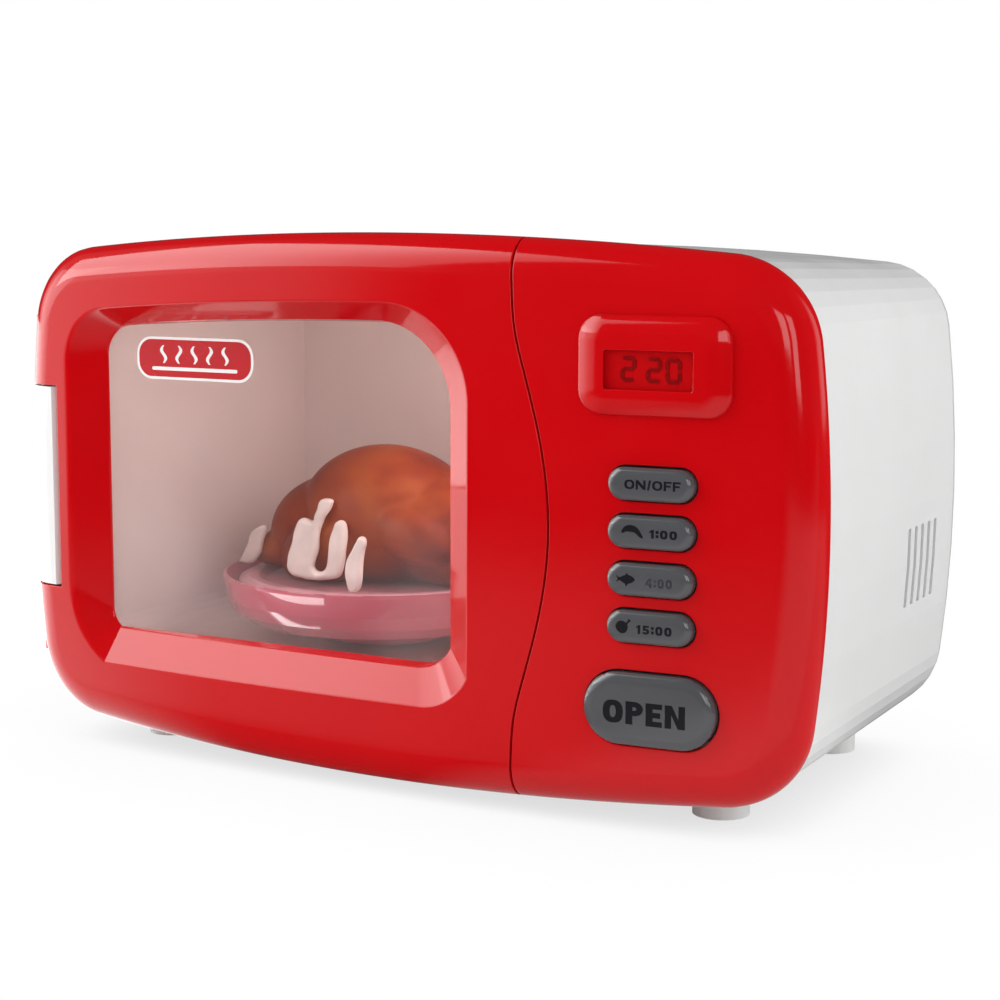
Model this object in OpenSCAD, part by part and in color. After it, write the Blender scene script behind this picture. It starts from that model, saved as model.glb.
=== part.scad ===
// Toy microwave oven: hinged front door, control panel with press buttons,
// turntable with toy food, casing, battery compartment and the parts inside.
// Built in a front frame (X right, Y back from the apex of the curved front,
// Z up from its mid height), then lifted so that the feet stand on Z = 0.

/* [Front face] */
// Width of the front
front_w = 300; // [280:1:320]
// Height of the front at its middle
front_h = 176.4; // [168:0.2:184]
// How much lower the top edge is at the sides than in the middle
bulge_top = 8.6; // [4:0.1:12]
// How much narrower the front is at its corners than at mid height
bulge_side = 8.3; // [4:0.1:12]
// Corner radius of the front outline
corner_r = 29.1; // [24:0.1:34]
// Radius of the curved front, seen from above
face_r = 1416; // [1200:1:1800]
// Width of the rounded edge round the front
edge_w = 12; // [9:0.5:14]
// Depth of the rounded edge round the front
edge_d = 9.3; // [7:0.1:11]
// Depth at which the red rim ends
rim_y = 20; // [19.5:0.1:20.2]
// Wall thickness of the red shells
shell_t = 2.2; // [1.8:0.1:2.6]

/* [Door] */
// Straight part of the seam between door and panel
seam_x = 52.5; // [50:0.1:56]
// How far the seam swings to the right at mid height
seam_bow = 12.9; // [8:0.1:15]
// Gap between the door and the panel
seam_gap = 0.9; // [0.7:0.1:1.2]
// Hinge axis, from the middle
hinge_x = -143; // [-143.5:0.1:-142.5]
// Hinge axis, behind the apex of the front
hinge_y = 13; // [12.6:0.1:13.4]
// Radius of the steel hinge pins
pin_r = 1.25; // [1.1:0.05:1.4]
// Running clearance round the hinge pins
pin_gap = 0.06; // [0.02:0.01:0.1]

/* [Controls] */
// Middle of the button column
btn_x = 99.5; // [98:0.1:101]
// Width of a small button
btn_w = 27.2; // [26:0.1:30]
// Height of a small button
btn_h = 9.9; // [9:0.1:10.4]
// Distance between the small buttons
btn_pitch = 14.3; // [14:0.1:15]
// Height of the top button above the middle
btn_top_z = 14.9; // [14:0.1:16]
// How far the buttons stand out of the panel
btn_out = 3; // [2:0.1:3.4]
// Width of the large button
open_w = 42.2; // [40:0.1:44]
// Height of the large button
open_h = 22.2; // [20:0.1:23]
// Height of the large button's middle, below the middle of the front
open_z = -53.2; // [-55:0.1:-52]

/* [Casing] */
// Front edge of the white casing
case_y0 = 20.7; // [20.5:0.1:21]
// Rear edge of the white casing
case_y1 = 147; // [145:1:150]
// Back of the rear cover
back_y = 157.5; // [157:0.5:160]
// Wall thickness of the casing
case_t = 2.4; // [2:0.1:2.8]
// Height of the feet below the lowest point of the front
foot_drop = 3.8; // [3:0.1:5]

/* [Turntable] */
// Middle of the turntable, from the middle of the oven
dish_x = -46.5; // [-48:0.5:-45]
// Middle of the turntable, behind the apex of the front
dish_y = 84; // [83:0.5:85]
// Radius of the dish
dish_r = 58.5; // [54:0.5:59]

/* [Hidden] */
$fn = 48;
red = [0.84, 0.07, 0.10];
white = [0.95, 0.95, 0.94];
a0 = front_w / 2;
b0 = front_h / 2;
kf = 1 / (2 * face_r);
lift_y = -77.9;
lift_z = b0 + foot_drop;

// ---- outline of the front: bulged edges joined by corner arcs ----
function unit(v) = v / norm(v);
function top_p(x) = [x, b0 - bulge_top * pow(x / a0, 2)];
function top_n(x) = unit([2 * bulge_top * x / (a0 * a0), 1]);
function side_p(z) = [a0 - bulge_side * pow(z / b0, 2), z];
function side_n(z) = unit([1, 2 * bulge_side * z / (b0 * b0)]);
function meet(x, z, i) = i == 0 ? [x, z] :
    let (z2 = (top_p(x) - corner_r * top_n(x))[1] + corner_r * side_n(z)[1],
         x2 = (side_p(z2) - corner_r * side_n(z2))[0] + corner_r * top_n(x)[0])
    meet(x2, z2, i - 1);
m = meet(a0 - corner_r, b0 - corner_r, 14);
cc = top_p(m[0]) - corner_r * top_n(m[0]);
ang0 = atan2(side_n(m[1])[1], side_n(m[1])[0]);
ang1 = atan2(top_n(m[0])[1], top_n(m[0])[0]);
// one quarter of the outline, moved inwards by d, from the right side to the top
function quarter(d) = concat(
    [for (i = [0 : 2]) let (z = m[1] * i / 3) side_p(z) - d * side_n(z)],
    [for (i = [0 : 7]) let (a = ang0 + (ang1 - ang0) * i / 7) cc + (corner_r - d) * [cos(a), sin(a)]],
    [for (i = [1 : 5]) let (x = m[0] * (1 - i / 5)) top_p(x) - d * top_n(x)]);
function rev(l) = [for (i = [len(l) - 1 : -1 : 0]) l[i]];
function ring(d) = let (q = quarter(d), n = len(q)) concat(
    q,
    [for (i = [n - 2 : -1 : 1]) [-q[i][0], q[i][1]]],
    [for (i = [0 : n - 1]) [-q[i][0], -q[i][1]]],
    [for (i = [n - 2 : -1 : 1]) [q[i][0], -q[i][1]]]);

// ---- small 2-D shapes in the X Z plane ----
// corner with a rounded rectangle
function arc(cx, cz, r, a, b, n) = [for (i = [0 : n]) let (t = a + (b - a) * i / n) [cx + r * cos(t), cz + r * sin(t)]];
function rrect(x0, x1, z0, z1, r) = concat(
    arc(x1 - r, z1 - r, r, 0, 90, 6), arc(x0 + r, z1 - r, r, 90, 180, 6),
    arc(x0 + r, z0 + r, r, 180, 270, 6), arc(x1 - r, z0 + r, r, 270, 360, 6));
// prism of an X Z outline from depth y0 to depth y1
module slab(y0, y1) translate([0, y1, 0]) rotate([90, 0, 0]) linear_extrude(y1 - y0) children();
module plate(y0, y1, pts) slab(y0, y1) polygon(pts);
// straight pill, exact round ends
module pill(w, h) {
    square([w - h, h], center = true);
    for (s = [-1, 1]) translate([s * (w - h) / 2, 0]) circle(d = h);
}
// rod along Y
module rod_y(x, z, y0, y1, r) translate([x, y0, z]) rotate([-90, 0, 0]) cylinder(h = y1 - y0, r = r);
module rod_z(x, y, z0, z1, r) translate([x, y, z0]) cylinder(h = z1 - z0, r = r);
module rod_x(y, z, x0, x1, r) translate([x0, y, z]) rotate([0, 90, 0]) cylinder(h = x1 - x0, r = r);
module block(x0, x1, y0, y1, z0, z1) translate([x0, y0, z0]) cube([x1 - x0, y1 - y0, z1 - z0]);
// everything behind the front's curved surface, moved forward by h
module behind_face(h) translate([0, face_r, -120]) cylinder(h = 240, r = face_r + h, $fn = 900);
module place() translate([0, lift_y, lift_z]) children();

// convex body from rings of the outline: each entry is [inset, depth, follows the curve]
module loft(rows) {
    hull() polyhedron(
        points = [for (r = rows) for (p = ring(r[0])) [p[0], r[1] + (r[2] == 1 ? kf * p[0] * p[0] : 0), p[1]]],
        faces = [for (i = [0 : len(rows) * len(ring(0)) - 3]) [i, i + 1, i + 2]]);
}
function edge_depth(d) = edge_d * (1 - sqrt(1 - pow((edge_w - d) / edge_w, 2)));
module front_solid() loft([
    [1.1, rim_y, 0], [0, edge_depth(0), 1], [0.6, edge_depth(0.6), 1], [2, edge_depth(2), 1],
    [4.4, edge_depth(4.4), 1], [8, edge_depth(8), 1], [12, 0, 1]]);
module front_hollow() loft([
    [1.1 + shell_t, rim_y + 3, 0], [shell_t, edge_depth(0) + 1, 1], [shell_t + 0.8, edge_depth(0.8) + shell_t, 1],
    [shell_t + 3.4, edge_depth(3.8) + shell_t, 1], [shell_t + 10.5, shell_t, 1]]);

// ---- seam between door and panel ----
function bow(z) = let (v = seam_bow * cos(90 * (z + 0.5) / 60)) (v + sqrt(v * v + 9)) / 2;
function seam(z) = seam_x + (abs(z) > 84 ? 0.3 : bow(z));
seam_z = [for (i = [0 : 32]) -96 + 6 * i];
module right_of_seam(off) plate(-8, 40, concat([for (z = seam_z) [seam(z) + off, z]], [[170, 96], [170, -96]]));
module left_of_seam(off) plate(-8, 40, concat([for (z = seam_z) [seam(z) + off, z]], [[-170, 96], [-170, -96]]));

// ---- window recess ----
function roof(x, top) = top - bulge_top * pow(x / a0, 2);
// outline with a bowed top: left, right, bottom, top at the middle, then the corner radii
function pane_pts(xl, xr, zb, zt, tl, tr, br, bl) = concat(
    [for (i = [0 : 6]) let (t = 90 * i / 6) [xr - tr + tr * cos(t), roof(xr - tr + tr * cos(t), zt) - tr * (1 - sin(t))]],
    [for (i = [1 : 5]) let (x = xr - tr + (xl + tl - xr + tr) * i / 6) [x, roof(x, zt)]],
    [for (i = [0 : 6]) let (t = 90 + 90 * i / 6) [xl + tl + tl * cos(t), roof(xl + tl + tl * cos(t), zt) - tl * (1 - sin(t))]],
    arc(xl + bl, zb + bl, bl, 180, 270, 5), arc(xr - br, zb + br, br, 270, 360, 5));
recess_out = pane_pts(-126.6, 37.7, -61, 66.6, 18, 30, 12, 16);
recess_in = pane_pts(-114, 26.9, -49.8, 60.5, 10, 27, 7.5, 10);
module taper(o, i, y0, y1, grow) {
    hull() polyhedron(
        points = concat([for (p = o) [p[0], y0 + kf * p[0] * p[0], p[1]]], [for (p = i) [p[0], y1 + kf * p[0] * p[0], p[1]]]),
        faces = [for (k = [0 : len(o) * 2 - 3]) [k, k + 1, k + 2]]);
}
function grown(p, g) = let (c = [-43, 5]) [for (q = p) [q[0] + g * sign(q[0] - c[0]) * min(1, abs(q[0] - c[0]) / 30), q[1] + g * sign(q[1] - c[1]) * min(1, abs(q[1] - c[1]) / 20)]];

// ---- front shells ----
notch = [-132.0, -36.6, 34.6];
module door_shell() color(red) place() difference() {
    union() {
        intersection() {
            difference() {
                front_solid();
                difference() {
                    front_hollow();
                    // wall along the seam
                    right_of_seam(-seam_gap / 2 - 2);
                    // walls round the hinge notch
                    block(-160, notch[0] + 2, -5, 30, notch[1] - 2, notch[2] + 2);
                    // hinge knuckles and screw posts
                    for (z = [34.6, -60.6]) rod_z(hinge_x, hinge_y, z, z + 24, 3.2);
                    for (p = door_posts) rod_y(p[0], p[1], 0, 15.9, 3.2);
                    taper(grown(recess_out, 2.2), grown(recess_in, 2), -2, 10.4);
                    // ring that holds the window pane
                    plate(7, 15.9, pane_pts(-122, 32.5, -56.4, 64.9, 14, 30, 12, 14));
                }
            }
            left_of_seam(-seam_gap / 2);
        }
    }
    taper(grown(recess_out, 1.9), recess_in, -2, 8);
    plate(-5, 16, pane_pts(-111.8, 24.7, -47.8, 58.3, 8, 25, 6, 8));
    plate(12.96, 20, pane_pts(-119.8, 30.3, -54.2, 62.7, 12, 28, 10, 12));
    block(-160, notch[0], -5, 30, notch[1], notch[2]);
    block(-160, -133.5, 17.6, 30, -100, 100);
    for (z = [34, -60]) rod_z(hinge_x, hinge_y, z, z + 24, pin_r);
    for (p = door_posts) rod_y(p[0], p[1], 8, 20, 1.1);
}
door_posts = [[-128, 66], [-40, 74], [42, 66], [-128, -66], [-40, -72], [42, -66]];
module door_inner_frame() color(white) place() difference() {
    intersection() {
        plate(16.2, 19.4, ring(4.6));
        left_of_seam(-seam_gap / 2 - 2.6);
    }
    plate(10, 25, pane_pts(-117.9, 26, -52.3, 60.9, 10, 26, 8, 10));
    block(-170, -129.4, 10, 30, notch[1] - 2.6, notch[2] + 2.6);
    block(-170, -137, 10, 30, -100, 100);
    for (p = door_posts) rod_y(p[0], p[1], 10, 22, 1.6);
    for (p = door_posts) rod_y(p[0], p[1], 17.9, 22, 2.8);
}
module window_pane() color([0.85, 0.87, 0.88, 0.35]) place() plate(13.0, 14.6, pane_pts(-119.5, 30, -53.9, 62.4, 12, 28, 10, 12));
module window_label() color(red) place() plate(12.7, 13.0, rrect(-101, -52, 38, 52.5, 6));
module door_latch_hook() color(white) place() {
    block(44.0, 47.2, 20.2, 31, -58, -50);
    block(40.5, 49.5, 19.4, 20.3, -60, -48);
    block(46.5, 50.4, 27.8, 31, -58, -50);
}
module hinge_pins() color("silver") place() for (z = [22.6, -56.6]) rod_z(hinge_x, hinge_y, z, z + 34, pin_r - 0.002);
module door_screws() color("silver") place() for (p = door_posts) {
    rod_y(p[0], p[1], 9, 18, 1.05);
    rod_y(p[0], p[1], 17.95, 19.1, 2.5);
}
module hinge_block() color(white) place() difference() {
    union() {
        intersection() {
            front_solid();
            block(-160, -132.7, -5, case_y0 - 0.8, -36, 34);
            // rounded corner that the door swings past
            union() {
                rod_z(hinge_x, hinge_y, -40, 40, 10.7);
                block(-160, -130, hinge_y, 30, -40, 40);
                block(-160, hinge_x, -5, 30, -40, 40);
            }
        }
        block(-144.4, -132.7, case_y0 - 1.2, case_y0 + 0.3, -35, 33);
    }
    for (z = [22, -38]) rod_z(hinge_x, hinge_y, z, z + 16, pin_r + pin_gap);
    for (z = [12, -14]) rod_y(-138.5, z, 13, 30, 1.1);
}
module hinge_block_screws() color("silver") place() for (z = [12, -14]) {
    rod_y(-138.5, z, 14, 24, 1.05);
    rod_y(-138.5, z, 23.95, 25.2, 2.4);
}

// ---- control panel ----
panel_posts = [[134, 58], [134, -40], [72, 73], [66, -68]];
btn_z = [for (i = [0 : 3]) btn_top_z - btn_pitch * i];
module control_panel() color(red) place() difference() {
    intersection() {
        difference() {
            front_solid();
            difference() {
                front_hollow();
                left_of_seam(seam_gap / 2 + 2);
                for (p = panel_posts) rod_y(p[0], p[1], 0, 20.4, 3.2);
                for (p = board_posts) rod_y(p[0], p[1], 0, 15.3, 2.8);
            }
        }
        right_of_seam(seam_gap / 2);
    }
    for (z = btn_z) slab(-5, 12) translate([btn_x, z]) pill(btn_w + 0.9, btn_h + 0.9);
    slab(-5, 12) translate([btn_x, open_z]) pill(open_w + 1, open_h + 1);
    plate(-5, 12, rrect(81.9, 116.1, 40.7, 56.5, 2));
    for (p = panel_posts) rod_y(p[0], p[1], 9, 25, 1.1);
    for (p = board_posts) rod_y(p[0], p[1], 8.6, 18, 1.1);
}
module panel_screws() color("silver") place() for (p = panel_posts) {
    rod_y(p[0], p[1], 12, 24.1, 1.05);
    rod_y(p[0], p[1], 24.0, 25.4, 2.6);
}
// the display lies along the curved face, turned to match it
module at_display() translate([disp_x, kf * disp_x * disp_x, 0]) rotate([0, 0, disp_turn]) translate([-disp_x, 0, 0]) children();
disp_x = 98.9;
disp_turn = atan(2 * kf * disp_x);
module display_bezel() color(red) place() difference() {
    intersection() {
        union() {
            plate(-8, 8, rrect(75.4, 124, 34.9, 64.8, 7));
            plate(4, 8.6, rrect(82.4, 115.6, 41.2, 56, 2));
        }
        behind_face(3.4);
    }
    difference() {
        behind_face(0.05);
        plate(-8, 8.6, rrect(82.2, 115.8, 41, 56.2, 2));
    }
    plate(-8, 12, rrect(84.9, 112.9, 42.8, 54.4, 1));
    at_display() plate(-2.9, 12, rrect(83.6, 114.2, 41.9, 55.3, 1));
}
module display_window() color([0.5, 0.02, 0.03, 0.8]) place() at_display() plate(-2.9, -1.6, rrect(83.8, 114, 42.1, 55.1, 1));
module display_module() color([0.15, 0.02, 0.03]) place() at_display() {
    plate(-1.3, 1.1, rrect(83.8, 114, 42.1, 55.1, 0.6));
    plate(1.1, 6.1, rrect(86, 112, 43.5, 53.7, 0.6));
}
// seven-segment figure: which bars are on, at x, z
module figure(x, z, on, w = 4.0, h = 6.6, t = 0.95) {
    bars = [[0, h / 2, 1], [w / 2, h / 4, 0], [w / 2, -h / 4, 0], [0, -h / 2, 1], [-w / 2, -h / 4, 0], [-w / 2, h / 4, 0], [0, 0, 1]];
    for (i = [0 : 6]) if (on[i] == 1) let (b = bars[i])
        block(x + b[0] - (b[2] == 1 ? w / 2 - 0.6 : t / 2), x + b[0] + (b[2] == 1 ? w / 2 - 0.6 : t / 2), -1.55, -1.3,
              z + b[1] - (b[2] == 1 ? t / 2 : h / 4 - 0.6), z + b[1] + (b[2] == 1 ? t / 2 : h / 4 - 0.6));
}
module display_digits() color([0.05, 0, 0]) place() at_display() {
    two = [1, 1, 0, 1, 1, 0, 1];
    figure(92, 48.7, two);
    figure(100.1, 48.7, two);
    figure(106.3, 48.7, [1, 1, 1, 1, 1, 1, 0]);
}
module circuit_board() color([0.1, 0.4, 0.2]) place() difference() {
    union() {
        plate(15.4, 17, rrect(70, 128, -37, 66, 2));
        // main chip, header and capacitors
        plate(17, 18.4, rrect(92, 106, 40, 50, 0.5));
        block(74, 90, 17, 23, 56, 62);
        for (p = [[118, 30], [118, 44]]) rod_y(p[0], p[1], 17, 26, 3);
        // display pins
        for (i = [0 : 8]) rod_y(86 + 2.8 * i, 45, 10.5, 16, 0.35);
    }
    for (p = board_posts) rod_y(p[0], p[1], 10, 20, 1.6);
}
board_posts = [[74, 20], [124.5, 20], [74, -33], [124.5, -33]];
module board_screws() color("silver") place() for (p = board_posts) {
    rod_y(p[0], p[1], 8.9, 17.1, 1.05);
    rod_y(p[0], p[1], 17, 18.2, 2.4);
}
module key_pad() color([0.8, 0.8, 0.78]) place() {
    difference() {
        plate(14.2, 15.4, rrect(80, 119, -34.5, 21.5, 3));
    }
    for (z = btn_z) rod_y(btn_x, z, 12.9, 14.2, 4);
}
module button(z) color([0.36, 0.37, 0.38]) place() {
    intersection() {
        slab(-6, 8) translate([btn_x, z]) pill(btn_w, btn_h);
        behind_face(btn_out);
    }
    slab(7.4, 8.9) translate([btn_x, z]) pill(btn_w + 2.6, btn_h + 2.2);
    rod_y(btn_x, z, 8.9, 11.2, 3);
}
module button_on_off() button(btn_z[0]);
module button_1_00() button(btn_z[1]);
module button_4_00() button(btn_z[2]);
module button_15_00() button(btn_z[3]);
module button_open() color([0.36, 0.37, 0.38]) place() {
    intersection() {
        slab(-6, 9) translate([btn_x, open_z]) pill(open_w, open_h);
        behind_face(btn_out);
    }
    slab(8, 9.6) translate([btn_x, open_z]) pill(open_w + 3, open_h + 2.4);
    // wedge that drives the latch slide
    translate([0, 0, open_z - 4]) linear_extrude(8) polygon([[94, 9.5], [104, 9.5], [104, 12], [98, 18], [94, 18]]);
}
module latch_slide() color([0.9, 0.9, 0.88]) place() {
    // ramp, bar and catch; the ramp stays parallel to the wedge
    translate([0, 0, open_z - 4]) linear_extrude(8) polygon([[103.2, 13.4], [98.5, 18.1], [98.5, 25.5], [112, 25.5], [112, 13.4]]);
    block(58, 99, 22.6, 25.5, open_z - 4, open_z + 4);
    block(51.7, 60, 24.2, 27.3, open_z - 4, open_z + 4);
}

// ---- casing and inside ----
case_in0 = 1.4;
case_in1 = 4.6;
rear_posts = [[137.6, 50], [-137.6, 50], [137.6, -50], [-137.6, -50], [0, 79], [0, -79]];
module casing() color(white) place() {
    difference() {
        loft([[case_in0, case_y0, 0], [case_in1, case_y1, 0]]);
        loft([[case_in0 + case_t - 0.03, case_y0 - 1, 0], [case_in1 + case_t + 0.03, case_y1 + 1, 0]]);
        rod_z(hinge_x, hinge_y, 34.6, 80, 9.1);
        rod_z(hinge_x, hinge_y, -80, -36.6, 9.1);
        // slots in the right wall over the loudspeaker
        for (i = [0 : 4]) block(140, 155, 97.5 + 7 * i, 100.5 + 7 * i, -33, -7);
    }
    for (p = rear_posts) difference() {
        rod_y(p[0], p[1], 122, case_y1, 4.2);
        rod_y(p[0], p[1], 128, case_y1 + 1, 1.3);
    }
    // rails that carry the front frame
    for (s = [-1, 1]) {
        for (z = [-46, 46]) difference() {
            block(s * 140.6 - 3.8, s * 140.6 + 3.8, 24.4, 34, z - 5, z + 5);
            rod_y(s * 139.5, z, 20, 33, 1.12);
        }
        for (x = [-80, 20, 100]) block(x - 5, x + 5, 24.4, 34, s < 0 ? -roof(x, b0 - 3.2) : 76, s < 0 ? -76 : roof(x, b0 - 3.2));
    }
}
frame_fix = [[-139.5, 46], [-139.5, -46], [139.5, 46], [139.5, -46]];
module front_frame() color(white) place() {
    difference() {
        plate(case_y0 + 0.3, case_y0 + 3.2, ring(4.2));
        plate(10, 30, rrect(-124, 32, -60, 68, 10));
        // opening behind the control panel
        plate(10, 30, rrect(67, 128, -44, 66, 4));
        // passage for the latch
        block(40, 116, 10, 30, open_z - 6, open_z + 6);
        rod_z(hinge_x, hinge_y, 34.6, 84, 9.1);
        rod_z(hinge_x, hinge_y, -84, -36.6, 9.1);
        for (p = panel_posts) rod_y(p[0], p[1], 10, 30, 1.4);
        for (z = [12, -14]) rod_y(-138.5, z, 10, 30, 1.4);
        for (p = frame_fix) {
            rod_y(p[0], p[1], 10, 30, 1.4);
            rod_y(p[0], p[1], 10, case_y0 + 1.6, 2.7);
        }
    }
    // guides above and below the latch slide
    for (s = [-1, 1]) block(62, 92, case_y0 + 3, case_y0 + 7, open_z + s * 6 - (s < 0 ? 2 : 0), open_z + s * 6 + (s > 0 ? 2 : 0));
}
module frame_screws() color("silver") place() for (p = frame_fix) {
    rod_y(p[0], p[1], case_y0 + 1.5, 32, 1.1);
    rod_y(p[0], p[1], case_y0 + 0.45, case_y0 + 1.55, 2.4);
}
module cavity_liner() color([0.93, 0.92, 0.90]) place() difference() {
    union() {
        plate(case_y0 + 3.2, 147.5, rrect(-126, 34, -62, 70, 12));
        for (y = [50.3, 69.7]) rod_x(y, 46, 33.8, 41.9, 1.8);
    }
    plate(10, 145.5, rrect(-124, 32, -60, 68, 10));
    rod_z(dish_x, dish_y, -70, -50, 4.4);
    for (p = motor_fix) rod_z(p[0], p[1], -70, -50, 1.3);
    // opening for the lamp
    rod_x(60, 46, 20, 40, 6.2);
}
module rear_cover() color(white) place() difference() {
    loft([[case_in1, case_y1 + 0.3, 0], [case_in1 + 0.7, 150.5, 0], [7.4, 154.4, 0], [12, 156.9, 0], [16, back_y, 0]]);
    difference() {
        loft([[case_in1 + 2.4, case_y1 - 1, 0], [case_in1 + 3.1, 150.5, 0], [10.4, 153, 0], [15, 155, 0]]);
        for (p = rear_posts) rod_y(p[0], p[1], case_y1, 156, 4.2);
    }
    for (p = rear_posts) {
        rod_y(p[0], p[1], 140, 160, 1.5);
        rod_y(p[0], p[1], 150.2, 160, 3.3);
    }
    // battery opening
    block(bat_x0 - 0.4, bat_x1 + 0.4, 140, 170, bat_z0 - 0.4, bat_z1 + 0.4);
    // vent slots behind the oven space
    for (i = [0 : 9]) block(-86 + 9 * i, -82 + 9 * i, 140, 170, 14, 46);
}
bat_x0 = 66; bat_x1 = 126; bat_z0 = -10; bat_z1 = 48;
cell_z = [4.5, 19.5, 34.5];
module rear_screws() color("silver") place() for (p = rear_posts) {
    rod_y(p[0], p[1], 136, 150.3, 1.25);
    rod_y(p[0], p[1], 150.25, 152.2, 2.9);
}
module battery_box() color([0.9, 0.9, 0.88]) place() difference() {
    union() {
        block(bat_x0 + 1.5, bat_x1 - 1.5, 135, 152.6, bat_z0 + 2, bat_z1 - 2);
        block(bat_x0 - 6, bat_x1 + 6, 152.0, 154.7, bat_z0 - 6, bat_z1 + 6);
    }
    block(bat_x0 + 3.5, bat_x1 - 3.5, 137, 170, bat_z0 + 3.4, bat_z1 - 6.1);
    rod_y(battery_screw[0], battery_screw[1], 145, 170, 1.12);
}
battery_screw = [96, 44.6];
module batteries() color([0.12, 0.3, 0.2]) place() for (i = [0 : 2]) {
    rod_x(144.6, cell_z[i], 71.8, 120.2, 7.1);
    rod_x(144.6, cell_z[i], i == 1 ? 70.8 : 120.1, i == 1 ? 71.9 : 121.2, 2.6);
}
module battery_contacts() color([0.8, 0.8, 0.82]) place() {
    for (x = [69.6, 121.9]) {
        block(x, x + 0.5, 138, 150.5, -1.5, 12.4);
        block(x, x + 0.5, 138, 150.5, 13.4, 40.5);
    }
    // coil springs, drawn closed
    for (i = [0 : 2]) rod_x(144.6, cell_z[i], i == 1 ? 120.25 : 70.1, i == 1 ? 121.9 : 71.75, 3);
}
module battery_door() color(white) place() difference() {
    union() {
        block(bat_x0, bat_x1, 154.9, 157.3, bat_z0, bat_z1);
        // tabs at the lower edge
        for (x = [80, 112]) block(x - 4, x + 4, 153, 155, bat_z0 + 3.8, bat_z0 + 5.8);
    }
    rod_y(battery_screw[0], battery_screw[1], 150, 170, 1.3);
    rod_y(battery_screw[0], battery_screw[1], 155.8, 170, 2.9);
    // finger recess
    block(86, 106, 156.6, 160, -4, 4);
}
module battery_door_screw() color("silver") place() {
    rod_y(battery_screw[0], battery_screw[1], 152.9, 156, 1.1);
    rod_y(battery_screw[0], battery_screw[1], 155.85, 157.2, 2.6);
}
module speaker() color([0.2, 0.2, 0.22]) place() {
    translate([5, 113, -20]) rotate([0, 90, 0]) rotate_extrude()
        polygon([[0, 112], [9, 112], [9, 121], [8, 124], [18, 134], [20, 134.5], [20, 136.5], [17, 136.5], [7, 126.5], [0, 126.5]]);
    block(138.5, 141.4, 98, 128, -41, -38.4);
}
module lamp() color([0.95, 0.85, 0.5]) place() {
    rod_x(60, 46, 36.2, 42, 2.5);
    translate([36.2, 60, 46]) sphere(r = 2.5);
    block(42, 43.6, 48, 72, 38, 54);
}
module lamp_lens() color([0.95, 0.95, 0.9, 0.6]) place() difference() {
    union() {
        rod_x(60, 46, 31.2, 34.1, 6);
        rod_x(60, 46, 34.05, 35.4, 7.5);
    }
    rod_x(60, 46, 32.6, 40, 4.6);
}
module gear_motor() color([0.85, 0.8, 0.5]) place() difference() {
    union() {
        block(dish_x - 12, dish_x + 38, dish_y - 16, dish_y + 16, -79.6, -65.4);
        rod_z(dish_x, dish_y, -65.5, -63.2, 8);
        rod_x(dish_y, -72.5, dish_x + 38, dish_x + 58, 6.6);
        for (p = motor_fix) rod_z(p[0], p[1], -65.5, -62.05, 3);
    }
    for (p = motor_fix) rod_z(p[0], p[1], -72, -60, 1.12);
    rod_z(dish_x, dish_y, -72, -60, 3.2);
}
motor_fix = [[dish_x - 8, dish_y - 12], [dish_x + 30, dish_y + 12]];
module motor_screws() color("silver") place() for (p = motor_fix) {
    rod_z(p[0], p[1], -70, -59.9, 1.1);
    rod_z(p[0], p[1], -59.98, -58.95, 2.4);
}
module battery_wires() color([0.75, 0.1, 0.1]) place() {
    rod_y(110, 30, 17, 135, 0.9);
}
module motor_wires() color([0.15, 0.15, 0.15]) place() {
    rod_x(dish_y, -72.5, dish_x + 58, 88, 0.9);
    translate([88, dish_y, -72.5]) sphere(r = 0.9);
    rod_z(88, dish_y, -72.5, 58, 0.9);
    translate([88, dish_y, 58]) sphere(r = 0.9);
    rod_y(88, 58, 23, dish_y, 0.9);
}
module feet() color([0.82, 0.82, 0.8]) place() difference() {
    for (x = [-108, 108]) for (y = [38, 132]) {
        rod_z(x, y, -b0 - foot_drop, -b0 + 12, 9);
    }
    loft([[case_in0, case_y0, 0], [case_in1, case_y1, 0]]);
}

// ---- turntable and food ----
module drive_shaft() color([0.85, 0.85, 0.85]) place() {
    rod_z(dish_x, dish_y, -71, -54.2, 3.14);
    // coupling star that turns the dish
    rod_z(dish_x, dish_y, -58.6, -54.2, 8);
    for (a = [0, 60, 120]) translate([dish_x, dish_y, -58.6]) rotate(a) translate([-13, -2, 0]) cube([26, 4, 4.4]);
}
module turntable_dish() color([0.78, 0.12, 0.22, 0.75]) place() translate([dish_x, dish_y, 0]) difference() {
    rotate_extrude($fn = 96) polygon([[0, -53.9], [20, -53.9], [20, -58], [22, -58], [22, -54], [50, -50.5], [55.5, -46.5],
        [57.4, -42], [dish_r, -35], [dish_r, -34], [57.2, -34], [55.4, -42], [53.4, -45], [48, -47.8], [22, -50], [0, -50]]);
}
module roast_chicken() color([0.75, 0.35, 0.12]) place() difference() {
    union() {
        // breast and back
        hull() {
            translate([-36, 84, -14]) sphere(r = 27, $fn = 20);
            translate([-62, 84, -20]) sphere(r = 23, $fn = 20);
            translate([-17, 84, -16.5]) sphere(r = 19.5, $fn = 20);
            translate([-40, 84, -40]) cylinder(h = 4, r = 34, $fn = 24);
        }
        // legs
        for (s = [-1, 1]) hull() {
            translate([-60, 84 + s * 22, -26]) sphere(r = 12, $fn = 16);
            translate([-88, 84 + s * 10, -28]) sphere(r = 6, $fn = 16);
        }
    }
    block(-160, 60, 0, 160, -80, -37);
}
module garnish() color([0.9, 0.85, 0.78]) place() {
    translate([dish_x, dish_y, 0]) rotate_extrude() polygon([[0, -49.7], [22, -49.7], [46, -47.4], [51.3, -44.6],
        [53.4, -40], [52.6, -36.4], [49.5, -34.9], [45.5, -35.2], [43, -37.05], [0, -37.05]]);
}

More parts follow.
